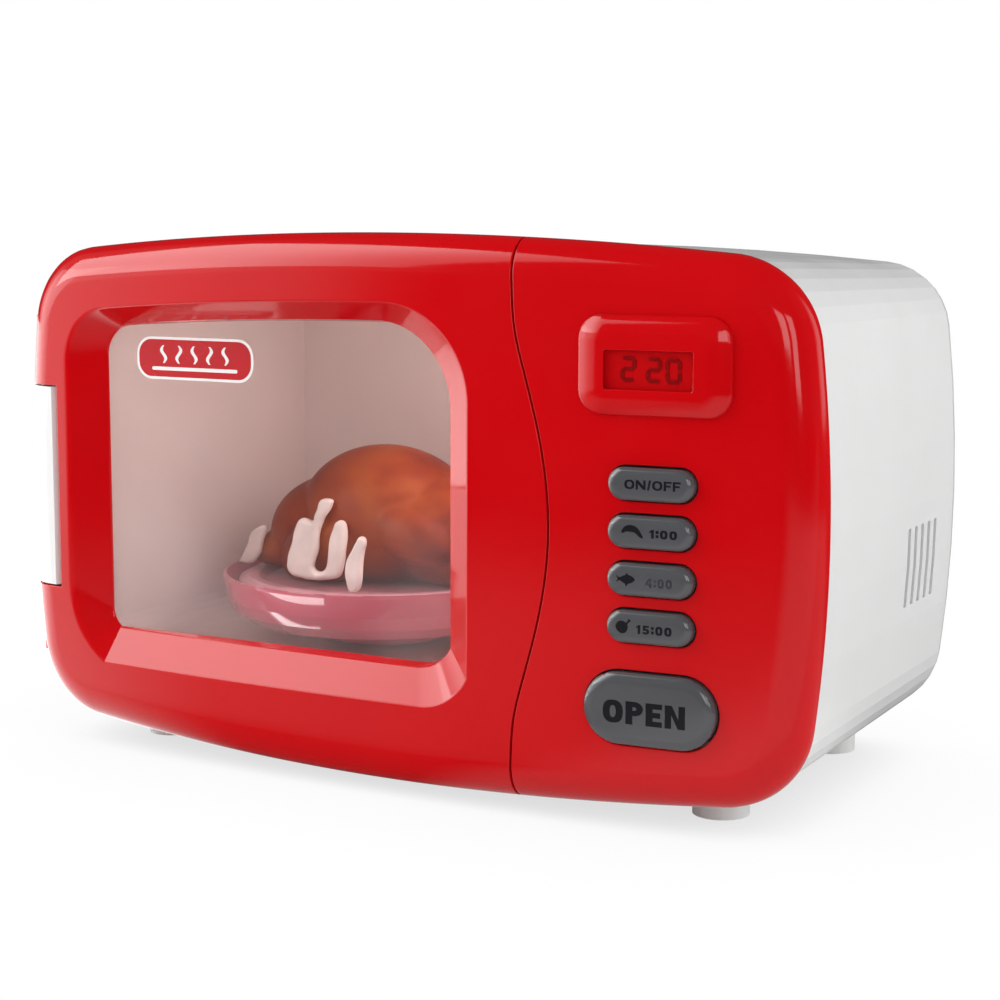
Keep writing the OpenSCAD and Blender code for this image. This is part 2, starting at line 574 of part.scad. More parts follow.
casing();
rear_cover();
front_frame();
cavity_liner();
hinge_block();
control_panel();
display_bezel();
display_window();
display_module();
display_digits();
circuit_board();
key_pad();
board_screws();
panel_screws();
frame_screws();
rear_screws();
hinge_block_screws();
speaker();
lamp();
lamp_lens();
gear_motor();
motor_screws();
battery_box();
batteries();
battery_contacts();
battery_wires();
motor_wires();
feet();
door_shell();
door_inner_frame();
window_pane();
window_label();
door_latch_hook();
hinge_pins();
door_screws();
button_on_off();
button_1_00();
button_4_00();
button_15_00();
button_open();
latch_slide();
battery_door();
battery_door_screw();
drive_shaft();
turntable_dish();
roast_chicken();
garnish();
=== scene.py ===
import math

import bpy
import numpy as np
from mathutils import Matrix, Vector, kdtree
from mathutils.geometry import delaunay_2d_cdt


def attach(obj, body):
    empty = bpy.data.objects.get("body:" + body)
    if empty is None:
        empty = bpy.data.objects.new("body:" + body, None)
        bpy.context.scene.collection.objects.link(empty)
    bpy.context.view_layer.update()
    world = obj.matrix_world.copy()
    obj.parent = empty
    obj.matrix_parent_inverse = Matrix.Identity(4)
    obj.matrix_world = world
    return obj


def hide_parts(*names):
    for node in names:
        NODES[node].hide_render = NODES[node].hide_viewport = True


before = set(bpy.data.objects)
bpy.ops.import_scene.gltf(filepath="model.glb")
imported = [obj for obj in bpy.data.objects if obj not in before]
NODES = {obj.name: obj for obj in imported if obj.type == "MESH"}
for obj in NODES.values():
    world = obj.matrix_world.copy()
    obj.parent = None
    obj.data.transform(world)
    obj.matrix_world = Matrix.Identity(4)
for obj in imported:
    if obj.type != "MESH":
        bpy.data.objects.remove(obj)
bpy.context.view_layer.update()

# ------------------------------------------------------------------ frame
# Shapes are written in the front frame, millimetres: X right, Y back from the
# apex of the curved front, Z up from its mid height.
LIFT = np.array([0.0, -77.9, 92.0])
A0, B0, BT, BS, CR = 150.0, 88.2, 8.6, 8.3, 29.1
KF = 1.0 / (2 * 1416.0)
EW, ED = 12.0, 9.3
HX, HY = -143.0, 13.0


def metres(v):
    return (np.asarray(v, float) + LIFT) / 1000.0


# ------------------------------------------------------------------ outline
def top_p(x):
    return np.array([x, B0 - BT * (x / A0) ** 2])


def top_n(x):
    v = np.array([2 * BT * x / A0 ** 2, 1.0])
    return v / np.linalg.norm(v)


def side_p(z):
    return np.array([A0 - BS * (z / B0) ** 2, z])


def side_n(z):
    v = np.array([1.0, 2 * BS * z / B0 ** 2])
    return v / np.linalg.norm(v)


mx, mz = A0 - CR, B0 - CR
for _ in range(30):
    mz = (top_p(mx) - CR * top_n(mx))[1] + CR * side_n(mz)[1]
    mx = (side_p(mz) - CR * side_n(mz))[0] + CR * top_n(mx)[0]
CC = top_p(mx) - CR * top_n(mx)


def quarter():
    pts, nrm = [], []
    for z in np.linspace(0, mz, 1300)[:-1]:
        pts.append(side_p(z)); nrm.append(side_n(z))
    a0 = math.atan2(side_n(mz)[1], side_n(mz)[0])
    a1 = math.atan2(top_n(mx)[1], top_n(mx)[0])
    for a in np.linspace(a0, a1, 1000)[:-1]:
        n = np.array([math.cos(a), math.sin(a)])
        pts.append(CC + CR * n); nrm.append(n)
    for x in np.linspace(mx, 0, 2700):
        pts.append(top_p(x)); nrm.append(top_n(x))
    return np.array(pts), np.array(nrm)


_q, _n = quarter()
_f = lambda a, sx, sz: a * np.array([sx, sz])
OP = np.concatenate([_q, _f(_q, -1, 1)[::-1][1:], _f(_q, -1, -1)[1:], _f(_q, 1, -1)[::-1][1:-1]])
ON = np.concatenate([_n, _f(_n, -1, 1)[::-1][1:], _f(_n, -1, -1)[1:], _f(_n, 1, -1)[::-1][1:-1]])
_kd = kdtree.KDTree(len(OP))
for _i, _p in enumerate(OP):
    _kd.insert((_p[0], _p[1], 0.0), _i)
_kd.balance()


def inset_of(pts):
    """Distance inside the outline and the outline's normal there."""
    idx = np.array([_kd.find((p[0], p[1], 0.0))[1] for p in pts])
    d = -np.einsum("ij,ij->i", pts - OP[idx], ON[idx])
    return np.maximum(d, 0.0), ON[idx]


def surf(pts, ew=EW, ed=ED, lift=0.0, start=0.0):
    """Points (x, z) put on the curved front: 3-D points and outward normals."""
    pts = np.asarray(pts, float)
    d, n = inset_of(pts)
    d = np.maximum(d - start, 0.0)
    u = np.clip((ew - d) / ew, 0, 1)
    s = np.sqrt(np.maximum(1 - u * u, 0))
    y = KF * pts[:, 0] ** 2 + ed * (1 - s) + lift
    g = (ed / ew) * u
    N = np.stack([s * 2 * KF * pts[:, 0] + g * n[:, 0], -s - 1e-9, g * n[:, 1]], 1)
    N /= np.linalg.norm(N, axis=1)[:, None]
    return np.stack([pts[:, 0], y, pts[:, 1]], 1), N


# ------------------------------------------------------------------ mesh kit
def unit(v):
    v = np.asarray(v, float)
    return v / np.maximum(np.linalg.norm(v, axis=-1, keepdims=True), 1e-12)


def bezier(a, c, b, na, nb, k):
    """Rows of a small rounding from a over corner c to b, with their normals."""
    rows = []
    for i in range(k + 1):
        t = i / k
        p = (1 - t) ** 2 * a + 2 * t * (1 - t) * c + t * t * b
        rows.append((p, unit((1 - t) * na + t * nb)))
    return rows


class Build:
    """Collects triangles with a normal at each corner, joined by position."""

    def __init__(self):
        self.V, self.N, self.F, self.n = [], [], [], 0

    def add(self, V, N, F):
        V = np.asarray(V, float)
        N = np.broadcast_to(np.asarray(N, float), V.shape)
        self.V.append(V); self.N.append(N); self.F.append(np.asarray(F, int) + self.n)
        self.n += len(V)

    def strip(self, A, NA, B, NB, closed=False):
        A, B = np.asarray(A, float), np.asarray(B, float)
        k = len(A)
        i = np.arange(k if closed else k - 1)
        j = (i + 1) % k
        F = np.concatenate([np.stack([i, j, k + j], 1), np.stack([i, k + j, k + i], 1)])
        self.add(np.concatenate([A, B]), np.concatenate([np.broadcast_to(NA, A.shape), np.broadcast_to(NB, B.shape)]), F)

    def rows(self, rows, closed=False):
        for (a, na), (b, nb) in zip(rows[:-1], rows[1:]):
            self.strip(a, na, b, nb, closed)

    def fan(self, centre, ring, normal):
        V = np.concatenate([[centre], ring])
        F = [[0, i, i + 1] for i in range(1, len(ring))]
        self.add(V, np.broadcast_to(normal, V.shape), F)

    def rod(self, a, b, r, k=32, bore=0.0, r2=None, chamfer=0.0):
        """Closed rod from a to b, with a bore if asked."""
        a, b = np.asarray(a, float), np.asarray(b, float)
        r2 = r if r2 is None else r2
        ax = unit(b - a)
        s = unit(np.cross(ax, [0.3, 0.7, 0.648]))
        t = np.cross(ax, s)
        ang = np.arange(k) * 2 * math.pi / k
        R = np.cos(ang)[:, None] * s + np.sin(ang)[:, None] * t
        c = chamfer
        if c:
            self.strip(a + R * (r - c), -ax, a + ax * c + R * r, R, True)
            self.strip(a + ax * c + R * r, R, b - ax * c + R * r2, R, True)
            self.strip(b - ax * c + R * r2, R, b + R * (r2 - c), ax, True)
        else:
            self.strip(a + R * r, R, b + R * r2, R, True)
        ra, rb = a + R * (r - c), b + R * (r2 - c)
        if bore:
            self.strip(ra, -ax, a + R * bore, -ax, True)
            self.strip(rb, ax, b + R * bore, ax, True)
            self.strip(a + R * bore, -R, b + R * bore, -R, True)
        else:
            for c0, ring, n in ((a, ra, -ax), (b, rb, ax)):
                self.fan(c0, np.concatenate([ring, ring[:1]]), n)

    def make(self, name, body, material, slot, replaces=()):
        V, N, F = np.concatenate(self.V), np.concatenate(self.N), np.concatenate(self.F)
        fn = np.cross(V[F[:, 1]] - V[F[:, 0]], V[F[:, 2]] - V[F[:, 0]])
        flip = np.einsum("ij,ij->i", fn, N[F].sum(1)) < 0
        F[flip] = F[flip][:, ::-1]
        key = np.round(V * 2000).astype(np.int64)
        _, first, inv = np.unique(key, axis=0, return_index=True, return_inverse=True)
        inv = np.asarray(inv).reshape(-1)
        G = inv[F]
        ok = (G[:, 0] != G[:, 1]) & (G[:, 1] != G[:, 2]) & (G[:, 2] != G[:, 0])
        F, G = F[ok], G[ok]
        # one face for each set of corners
        _, keep = np.unique(np.sort(G, 1), axis=0, return_index=True)
        keep = np.sort(keep)
        F, G = F[keep], G[keep]
        used, G2 = np.unique(G, return_inverse=True)
        G2 = np.asarray(G2).reshape(-1, 3)
        co = metres(V[first][used])
        me = bpy.data.meshes.new(name)
        me.from_pydata(co.tolist(), [], G2.tolist())
        me.polygons.foreach_set("use_smooth", np.ones(len(me.polygons), bool))
        me.normals_split_custom_set(unit(N[F].reshape(-1, 3)).tolist())
        me.update()
        o = bpy.data.objects.new(name, me)
        bpy.context.scene.collection.objects.link(o)
        me.materials.append(material)
        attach(o, body)
        if replaces:
            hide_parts(*replaces)
        return o


def inside(poly, pts):
    """Which points lie inside the closed outline."""
    x, y = pts[:, 0], pts[:, 1]
    res = np.zeros(len(pts), bool)
    x0, y0 = poly[:, 0], poly[:, 1]
    x1, y1 = np.roll(x0, -1), np.roll(y0, -1)
    for a, b, c, d in zip(x0, y0, x1, y1):
        if b == d:
            continue
        hit = (b > y) != (d > y)
        if hit.any():
            xi = a + (y[hit] - b) * (c - a) / (d - b)
            res[hit] ^= x[hit] < xi
    return res


def gap_to(poly, pts):
    """Distance from points to a closed outline."""
    best = np.full(len(pts), 1e9)
    P, Q = poly, np.roll(poly, -1, 0)
    for a, b in zip(P, Q):
        ab = b - a
        L = ab @ ab
        if L < 1e-16:
            continue
        t = np.clip(((pts - a) @ ab) / L, 0, 1)
        best = np.minimum(best, np.linalg.norm(pts - a - t[:, None] * ab, axis=1))
    return best


def tidy(loop):
    loop = np.asarray(loop, float)
    keep = [loop[0]]
    for p in loop[1:]:
        if np.linalg.norm(p - keep[-1]) > 6e-4:
            keep.append(p)
    while np.linalg.norm(keep[0] - keep[-1]) <= 6e-4:
        keep.pop()
    return np.array(keep)


def sheet(outer, holes, extra, margin=0.35):
    """Triangles that fill an outline with holes, with extra points inside."""
    outer = tidy(outer)
    holes = [tidy(h) for h in holes]
    extra = np.asarray(extra, float).reshape(-1, 2)
    ok = inside(outer, extra)
    extra = extra[ok]
    extra = extra[gap_to(outer, extra) > margin]
    for h in holes:
        extra = extra[~inside(h, extra)]
        extra = extra[gap_to(h, extra) > margin]
    loops = [outer] + holes
    pts, edges = [], []
    for l in loops:
        n0 = len(pts)
        pts += [tuple(p) for p in l]
        edges += [(n0 + i, n0 + (i + 1) % len(l)) for i in range(len(l))]
    pts += [tuple(p) for p in extra]
    vs, _, fs, orig, _, _ = delaunay_2d_cdt([Vector(p) for p in pts], edges, [], 0, 1e-7)
    P = np.array([pts[o[0]] if len(o) else tuple(v) for v, o in zip(vs, orig)])
    F = np.array([list(f) for f in fs if len(f) == 3])
    c = P[F].mean(1)
    ok = inside(outer, c)
    for h in holes:
        ok &= ~inside(h, c)
    return P, F[ok]


def grid(x0, x1, z0, z1, step):
    xs, zs = np.arange(x0, x1, step), np.arange(z0, z1, step)
    g = np.array([[x + (0.5 * step if j % 2 else 0), z] for j, z in enumerate(zs) for x in xs])
    return g


def edge_rings(step=1.3):
    """Points on the rounded edge, ring by ring."""
    out = []
    for d in (0.12, 0.4, 0.85, 1.5, 2.3, 3.3, 4.5, 6.0, 7.7, 9.6, 12.0):
        k = int(900 / (step * (0.8 if d < 2 else 1.2)))
        idx = (np.arange(k) * len(OP) / k).astype(int)
        out.append(OP[idx] - d * ON[idx])
    return np.concatenate(out)


RINGS = edge_rings()


def loop_normals(P, closed=True):
    """Normal in the plane to the left of the direction of travel."""
    if closed:
        t = np.roll(P, -1, 0) - np.roll(P, 1, 0)
    else:
        t = np.gradient(P, axis=0)
    t = unit(t)
    return np.stack([t[:, 1], -t[:, 0]], 1)


def xyz(P, y):
    P = np.asarray(P, float)
    return np.stack([P[:, 0], np.broadcast_to(y, len(P)), P[:, 1]], 1)


def n3(n2, y=0.0):
    return unit(np.stack([n2[:, 0], np.broadcast_to(y, len(n2)), n2[:, 1]], 1))


# ------------------------------------------------------------------ seam and notch
def bow(z):
    v = 12.9 * np.cos(np.radians(90 * (np.clip(z, -100, 100) + 0.5) / 60))
    return (v + np.sqrt(v * v + 9)) / 2


def seam(z):
    return 52.5 + np.where(np.abs(z) > 78, 0.35 + (bow(78 * np.sign(z)) - 0.35) * np.clip((86 - np.abs(z)) / 8, 0, 1), bow(z))


NT, NB_, NX = 34.6, -36.6, -132.0


def cosine(k):
    return (1 - np.cos(np.linspace(0, math.pi, k))) / 2


def run_of(P, mask_index, k):
    """k points spread evenly along part of a dense curve, kept on its own points."""
    Q = P[mask_index]
    s = np.concatenate([[0], np.cumsum(np.linalg.norm(np.diff(Q, axis=0), axis=1))])
    want = np.linspace(0, s[-1], k)
    i = np.clip(np.searchsorted(s, want), 0, len(Q) - 1)
    return mask_index[i]


def crossing(P, side, top):
    """Index of the outline point where the seam meets it."""
    ok = (P[:, 1] > 60) if top else (P[:, 1] < -60)
    d = np.abs(P[:, 0] - side(P[:, 1]))
    d[~ok] = 1e9
    return int(np.argmin(d))


def door_runs(oo, os_, on):
    """Outline of the door, moved in by oo along the outline, os_ at the seam and on at the notch."""
    P = OP - oo * ON
    side = lambda z: seam(z) - 0.45 - os_
    i0, i1 = crossing(P, side, True), crossing(P, side, False)
    left = np.where(P[:, 0] < -100)[0]
    nt = left[np.argmin(np.abs(P[left, 1] - (NT + on)))]
    nb = left[np.argmin(np.abs(P[left, 1] - (NB_ - on)))]
    a = run_of(P, np.arange(i0, nt + 1), 220)
    b = run_of(P, np.arange(nb, i1 + 1), 220)
    xr = NX + on
    t = cosine(46)[:, None]
    e1 = P[nt] * (1 - t) + np.array([xr, P[nt][1]]) * t
    e2 = np.stack([np.full(60, xr), np.linspace(P[nt][1], P[nb][1], 60)], 1)
    e3 = np.array([xr, P[nb][1]]) * (1 - t) + P[nb] * t
    z = P[i1][1] + (P[i0][1] - P[i1][1]) * cosine(200)
    s = np.stack([side(z), z], 1)
    s[0], s[-1] = P[i1], P[i0]
    return [("o", P[a], ON[a]), ("n", e1, np.tile([0, -1.0], (46, 1))), ("n", e2, np.tile([-1.0, 0], (60, 1))),
            ("n", e3, np.tile([0, 1.0], (46, 1))), ("o", P[b], ON[b]), ("s", s, loop_normals(s, False))]


def panel_runs(oo, os_):
    P = OP - oo * ON
    side = lambda z: seam(z) + 0.24 + os_
    i0, i1 = crossing(P, side, True), crossing(P, side, False)
    idx = np.concatenate([np.arange(i1, len(P)), np.arange(0, i0 + 1)])
    a = run_of(P, idx, 330)
    z = P[i0][1] + (P[i1][1] - P[i0][1]) * cosine(200)
    s = np.stack([side(z), z], 1)
    s[0], s[-1] = P[i0], P[i1]
    return [("o", P[a], ON[a]), ("s", s, loop_normals(s, False))]


def joined(runs):
    return np.concatenate([r[1] for r in runs])


def shell(bd, runs_at, holes_front, holes_inner, r, back, wall=2.0):
    """A front shell: the face, small roundings at its own edges, side walls, back rim and inner skin."""
    edge = runs_at(0, 0)
    first = runs_at(0, r)
    P, F = sheet(joined(first), holes_front, np.concatenate([RINGS, grid(-150, 150, -88, 88, 3.4)]))
    V, N = surf(P)
    bd.add(V, N, F)
    inner_b = runs_at(3.3, wall)
    inner_t = runs_at(2.2, wall)
    draft = runs_at(1.1, 0)
    for i, (kind, e, n) in enumerate(edge):
        p, pn = surf(first[i][1])
        c, cn = surf(e)
        w = n3(n)
        yb = back(e)
        if kind == "o":
            c[:, 1] = KF * e[:, 0] ** 2 + ED
            top, topn = c.copy(), w
            # the seam's rounding starts a little way along the outline
            top_first = first[i][1]
            tp = xyz(top_first, KF * top_first[:, 0] ** 2 + ED)
            b = xyz(draft[i][1], yb)
            bd.strip(tp, w, b, w)
        else:
            q = c + np.array([0, r, 0])
            q[:, 1] = np.minimum(q[:, 1], yb - 0.05)
            rows = bezier(p, c, q, pn, w, 4)
            for row in (0, -1):
                pass
            bd.rows(rows)
            b = xyz(draft[i][1], yb)
            bd.strip(q, w, b, w)
            # close the rounding's two ends against the outline's wall
            for k in (0, -1):
                ring = np.array([rw[0][k] for rw in rows])
                base = np.array([b[k]])
                near = n3(edge[i - 1][2][-1:] if k == 0 else edge[(i + 1) % len(edge)][2][:1])[0]
                neighbour = edge[i - 1][0] if k == 0 else edge[(i + 1) % len(edge)][0]
                if neighbour == "o":
                    nb = (draft[i - 1][1][-1] if k == 0 else draft[(i + 1) % len(edge)][1][0])
                    bd.fan(xyz(nb[None], yb[k] if k == 0 else yb[-1])[0], ring, near)
        ib = xyz(inner_b[i][1], yb)
        bd.strip(b, [0, 1, 0], ib, [0, 1, 0])
        it, _ = surf(inner_t[i][1], 10.5, 8.1, 2.2, 2.2)
        it[:, 1] = np.minimum(it[:, 1], yb - 0.02)
        bd.strip(ib, -w, it, -w)
    P, F = sheet(joined(inner_t), holes_inner, np.concatenate([RINGS[::3], grid(-150, 150, -88, 88, 5.0)]), 0.5)
    V, N = surf(P, 10.5, 8.1, 2.2, 2.2)
    lim = back(P) - 0.02
    V[:, 1] = np.minimum(V[:, 1], lim)
    bd.add(V, -N, F)


# ------------------------------------------------------------------ window recess outlines
def roof(x, top):
    return top - BT * (x / A0) ** 2


def arc_pts(cx, cz, r, a, b, k):
    t = np.radians(np.linspace(a, b, k))
    return np.stack([cx + r * np.cos(t), cz + r * np.sin(t)], 1)


def line_pts(a, b, k):
    t = np.linspace(0, 1, k)[:, None]
    return np.array(a) * (1 - t) + np.array(b) * t


def recess_loop(xl, xr, zb, zt, tl, tr, ble, blt, bre, brt):
    """Two parts of the loop that meet in creases: sides and top, then the ledge and its right corner.
    ble: where the ledge starts, blt: how far the lower left corner turns; bre: height where the right side starts, brt its turn."""
    R = (bre[1] - zb) / (1 - math.cos(math.radians(brt)))
    xs = bre[0] - R * math.sin(math.radians(brt))
    ledge = np.concatenate([line_pts((ble, zb), (xs, zb), 110)[:-1], arc_pts(xs, zb + R, R, 270, 270 + brt, 26)])
    t = np.radians(np.linspace(0, 90, 30))
    x = xr - tr + tr * np.cos(t)
    tra = np.stack([x, roof(x, zt) - tr * (1 - np.sin(t))], 1)
    right = line_pts(ledge[-1], tra[0], 60)[:-1]
    x = np.linspace(xr - tr, xl + tl, 90)
    top = np.stack([x, roof(x, zt)], 1)[1:-1]
    t = np.radians(np.linspace(90, 180, 24))
    x = xl + tl + tl * np.cos(t)
    tla = np.stack([x, roof(x, zt) - tl * (1 - np.sin(t))], 1)
    Rl = (ble - xl) / (1 - math.cos(math.radians(blt)))
    zs = zb + Rl * math.sin(math.radians(blt))
    bla = arc_pts(xl + Rl, zs, Rl, 180, 180 + blt, 28)
    left = line_pts(tla[-1], bla[0], 60)[1:-1]
    frame_part = np.concatenate([right, tra, top, tla, left, bla])
    return frame_part, ledge


OUT = recess_loop(-126.6, 37.6, -61.0, 66.6, 18, 30, -111.6, 58, (37.4, -50.2), 62)
INN = recess_loop(-114.0, 26.9, -50.0, 60.5, 10, 27, -110.6, 52, (26.9, -42.5), 62)
K1, K2 = len(OUT[0]), len(OUT[1])
LOUT = np.concatenate([OUT[0][:-1], OUT[1][:-1]])
LINN = np.concatenate([INN[0][:-1], INN[1][:-1]])


def moved(loop, o):
    """Closed loop moved outwards by o."""
    return loop + o * loop_normals(loop)


def parts(loop):
    """The two smooth parts of a closed recess loop, each with both ends."""
    return np.concatenate([loop[:K1 - 1], loop[K1 - 1:K1]]), np.concatenate([loop[K1 - 1:], loop[:1]])


def hole_pill(cx, cz, w, h, k=20):
    r = h / 2
    a = arc_pts(cx + w / 2 - r, cz, r, -90, 90, k)
    b = arc_pts(cx - w / 2 + r, cz, r, 90, 270, k)
    top = line_pts(a[-1], b[0], 24)[1:-1]
    bot = line_pts(b[-1], a[0], 24)[1:-1]
    return np.concatenate([a, top, b, bot])


def rrect(x0, x1, z0, z1, r, k=8, m=26):
    """Rounded rectangle, counted the same for any size."""
    c = [(x1 - r, z1 - r, 0), (x0 + r, z1 - r, 90), (x0 + r, z0 + r, 180), (x1 - r, z0 + r, 270)]
    out = []
    for i, (cx, cz, a) in enumerate(c):
        arc = arc_pts(cx, cz, r, a, a + 90, k)
        out.append(arc)
        nx = c[(i + 1) % 4]
        nxt = arc_pts(nx[0], nx[1], r, nx[2], nx[2], 1)[0]
        out.append(line_pts(arc[-1], nxt, m if i % 2 == 0 else 14)[1:-1])
    return np.concatenate(out)


# ------------------------------------------------------------------ materials
def principled(name, colour, rough=0.3, ior=1.5, alpha=1.0, metallic=0.0, coat=0.0, coat_rough=0.05, trans=0.0,
               subsurface=0.0, sub_scale=0.003, emission=None, e_strength=0.0, spec=0.5):
    m = bpy.data.materials.new(name)
    m.use_nodes = True
    b = m.node_tree.nodes["Principled BSDF"]
    b.inputs["Base Color"].default_value = (*colour, 1)
    b.inputs["Roughness"].default_value = rough
    b.inputs["IOR"].default_value = ior
    b.inputs["Specular IOR Level"].default_value = spec
    b.inputs["Alpha"].default_value = alpha
    b.inputs["Metallic"].default_value = metallic
    b.inputs["Coat Weight"].default_value = coat
    b.inputs["Coat Roughness"].default_value = coat_rough
    b.inputs["Transmission Weight"].default_value = trans
    if subsurface:
        b.inputs["Subsurface Weight"].default_value = subsurface
        b.inputs["Subsurface Scale"].default_value = sub_scale
        b.inputs["Subsurface Radius"].default_value = (1.0, 0.5, 0.3)
    if emission:
        b.inputs["Emission Color"].default_value = (*emission, 1)
        b.inputs["Emission Strength"].default_value = e_strength
    return m


def node(m, kind, **props):
    n = m.node_tree.nodes.new(kind)
    for k, v in props.items():
        setattr(n, k, v)
    return n


def wire(m, a, b):
    m.node_tree.links.new(a, b)


def coords(m):
    return node(m, "ShaderNodeTexCoord").outputs["Object"]


def ramp(m, source, stops, interp="LINEAR"):
    r = node(m, "ShaderNodeValToRGB")
    r.color_ramp.interpolation = interp
    e = r.color_ramp.elements
    while len(e) < len(stops):
        e.new(0.5)
    for i, (p, c) in enumerate(stops):
        e[i].position = p
        e[i].color = (*c, 1) if len(c) == 3 else c
    wire(m, source, r.inputs["Fac"])
    return r.outputs["Color"]


def noise_tex(m, scale, detail=2.0, rough=0.5, vec=None):
    n = node(m, "ShaderNodeTexNoise")
    n.inputs["Scale"].default_value = scale
    n.inputs["Detail"].default_value = detail
    n.inputs["Roughness"].default_value = rough
    wire(m, vec if vec is not None else coords(m), n.inputs["Vector"])
    return n


def bump(m, height, strength, distance, normal=None):
    b = node(m, "ShaderNodeBump")
    b.inputs["Strength"].default_value = strength
    b.inputs["Distance"].default_value = distance
    wire(m, height, b.inputs["Height"])
    if normal is not None:
        wire(m, normal, b.inputs["Normal"])
    return b.outputs["Normal"]


def finish_surface(m, colour, vary=0.04, scale=18.0, peel=0.0, peel_scale=260.0, grain=0.0, grain_scale=1800.0,
                   rough=0.2, rough_vary=0.03, dust=0.0, dust_colour=(0.9, 0.55, 0.52)):
    """Slight mottling of the colour, uneven gloss, orange peel or grain, and a few specks of dust."""
    b = m.node_tree.nodes["Principled BSDF"]
    co = coords(m)
    n = noise_tex(m, scale, 3.0, 0.55, co)
    lo = tuple(c * (1 - vary) for c in colour)
    hi = tuple(min(1, c * (1 + vary)) for c in colour)
    col = ramp(m, n.outputs["Fac"], [(0.3, lo), (0.7, hi)])
    if dust:
        v = node(m, "ShaderNodeTexVoronoi")
        v.inputs["Scale"].default_value = 34.0
        v.inputs["Randomness"].default_value = 1.0
        wire(m, co, v.inputs["Vector"])
        near = node(m, "ShaderNodeMath", operation="LESS_THAN")
        wire(m, v.outputs["Distance"], near.inputs[0])
        near.inputs[1].default_value = 0.012
        sep = node(m, "ShaderNodeSeparateColor")
        wire(m, v.outputs["Color"], sep.inputs[0])
        pick = node(m, "ShaderNodeMath", operation="GREATER_THAN")
        wire(m, sep.outputs[0], pick.inputs[0])
        pick.inputs[1].default_value = 1 - dust
        both = node(m, "ShaderNodeMath", operation="MULTIPLY")
        wire(m, near.outputs[0], both.inputs[0]); wire(m, pick.outputs[0], both.inputs[1])
        mix = node(m, "ShaderNodeMix", data_type="RGBA")
        wire(m, both.outputs[0], mix.inputs["Factor"])
        wire(m, col, mix.inputs[6])
        mix.inputs[7].default_value = (*dust_colour, 1)
        col = mix.outputs[2]
    wire(m, col, b.inputs["Base Color"])
    rn = noise_tex(m, 40.0, 2.0, 0.5, co)
    rr = node(m, "ShaderNodeMapRange")
    wire(m, rn.outputs["Fac"], rr.inputs["Value"])
    rr.inputs["From Min"].default_value = 0.3
    rr.inputs["From Max"].default_value = 0.7
    rr.inputs["To Min"].default_value = max(rough - rough_vary, 0.01)
    rr.inputs["To Max"].default_value = rough + rough_vary
    wire(m, rr.outputs["Result"], b.inputs["Roughness"])
    nrm = None
    if peel:
        pn = noise_tex(m, peel_scale, 1.0, 0.4, co)
        nrm = bump(m, pn.outputs["Fac"], peel, 0.0004)
    if grain:
        gn = noise_tex(m, grain_scale, 2.0, 0.6, co)
        nrm = bump(m, gn.outputs["Fac"], grain, 0.0002, nrm)
    if nrm is not None:
        wire(m, nrm, b.inputs["Normal"])
    return m


RED = (0.555, 0.0015, 0.0038)
M = {}


def mat(name, colour, rough, surface=None, **kw):
    m = principled(name, colour, rough, **kw)
    if surface is not None:
        finish_surface(m, colour, rough=rough, **surface)
    M[name] = m
    return m


mat("red_plastic_gloss", RED, 0.085, dict(vary=0.03, peel=0.035, peel_scale=120.0, rough_vary=0.02, dust=0.035), ior=1.5)
mat("white_plastic_gloss", (0.77, 0.77, 0.765), 0.22, dict(vary=0.012, peel=0.05, peel_scale=220.0, rough_vary=0.03))
mat("liner_plastic", (0.80, 0.66, 0.62), 0.42, dict(vary=0.03, peel=0.015, peel_scale=90.0, rough_vary=0.04))
mat("inner_plastic", (0.70, 0.70, 0.67), 0.45, dict(vary=0.02, grain=0.1, rough_vary=0.04))
mat("button_plastic", (0.078, 0.080, 0.086), 0.14, dict(vary=0.05, peel=0.06, peel_scale=420.0, rough_vary=0.03), coat=0.6, coat_rough=0.07)
mat("print_black", (0.008, 0.008, 0.011), 0.35, dict(vary=0.1, grain=0.1, rough_vary=0.05), spec=0.25)
mat("print_worn", (0.034, 0.034, 0.042), 0.4, dict(vary=0.35, scale=900.0, grain=0.1, rough_vary=0.05))
mat("display_glass", (0.50, 0.001, 0.004), 0.10, dict(vary=0.03, rough_vary=0.03), alpha=0.16, spec=0.25)
mat("display_back", (0.66, 0.0012, 0.0030), 0.6, dict(vary=0.06, scale=60.0, grain=0.08), spec=0.08)
mat("display_ink", (0.16, 0.0015, 0.0010), 0.6, dict(vary=0.1, scale=300.0), spec=0.1)
mat("foot_rubber", (0.70, 0.70, 0.69), 0.6, dict(vary=0.03, grain=0.3, grain_scale=2600.0, rough_vary=0.08))
mat("steel_zinc", (0.60, 0.60, 0.59), 0.3, dict(vary=0.06, scale=200.0, grain=0.15, rough_vary=0.08), metallic=1.0)
mat("contact_nickel", (0.66, 0.65, 0.62), 0.25, dict(vary=0.05, scale=150.0, rough_vary=0.08), metallic=1.0)
mat("board_green", (0.022, 0.13, 0.045), 0.35, dict(vary=0.2, scale=260.0, grain=0.2, rough_vary=0.06))
mat("key_silicone", (0.52, 0.52, 0.49), 0.6, dict(vary=0.04, grain=0.15, rough_vary=0.05))
mat("speaker_paper", (0.02, 0.02, 0.022), 0.75, dict(vary=0.3, scale=400.0, grain=0.5, rough_vary=0.06))
mat("lamp_diffuser", (0.88, 0.86, 0.78), 0.35, dict(vary=0.02, rough_vary=0.04))
mat("motor_body", (0.62, 0.52, 0.26), 0.4, dict(vary=0.04, grain=0.15, rough_vary=0.05))
mat("cell_film", (0.02, 0.09, 0.05), 0.25, dict(vary=0.15, scale=90.0, rough_vary=0.06))
mat("wire_red", (0.35, 0.01, 0.01), 0.4, dict(vary=0.05, rough_vary=0.05))
mat("shaft_acetal", (0.72, 0.72, 0.70), 0.4, dict(vary=0.02, grain=0.1, rough_vary=0.04))


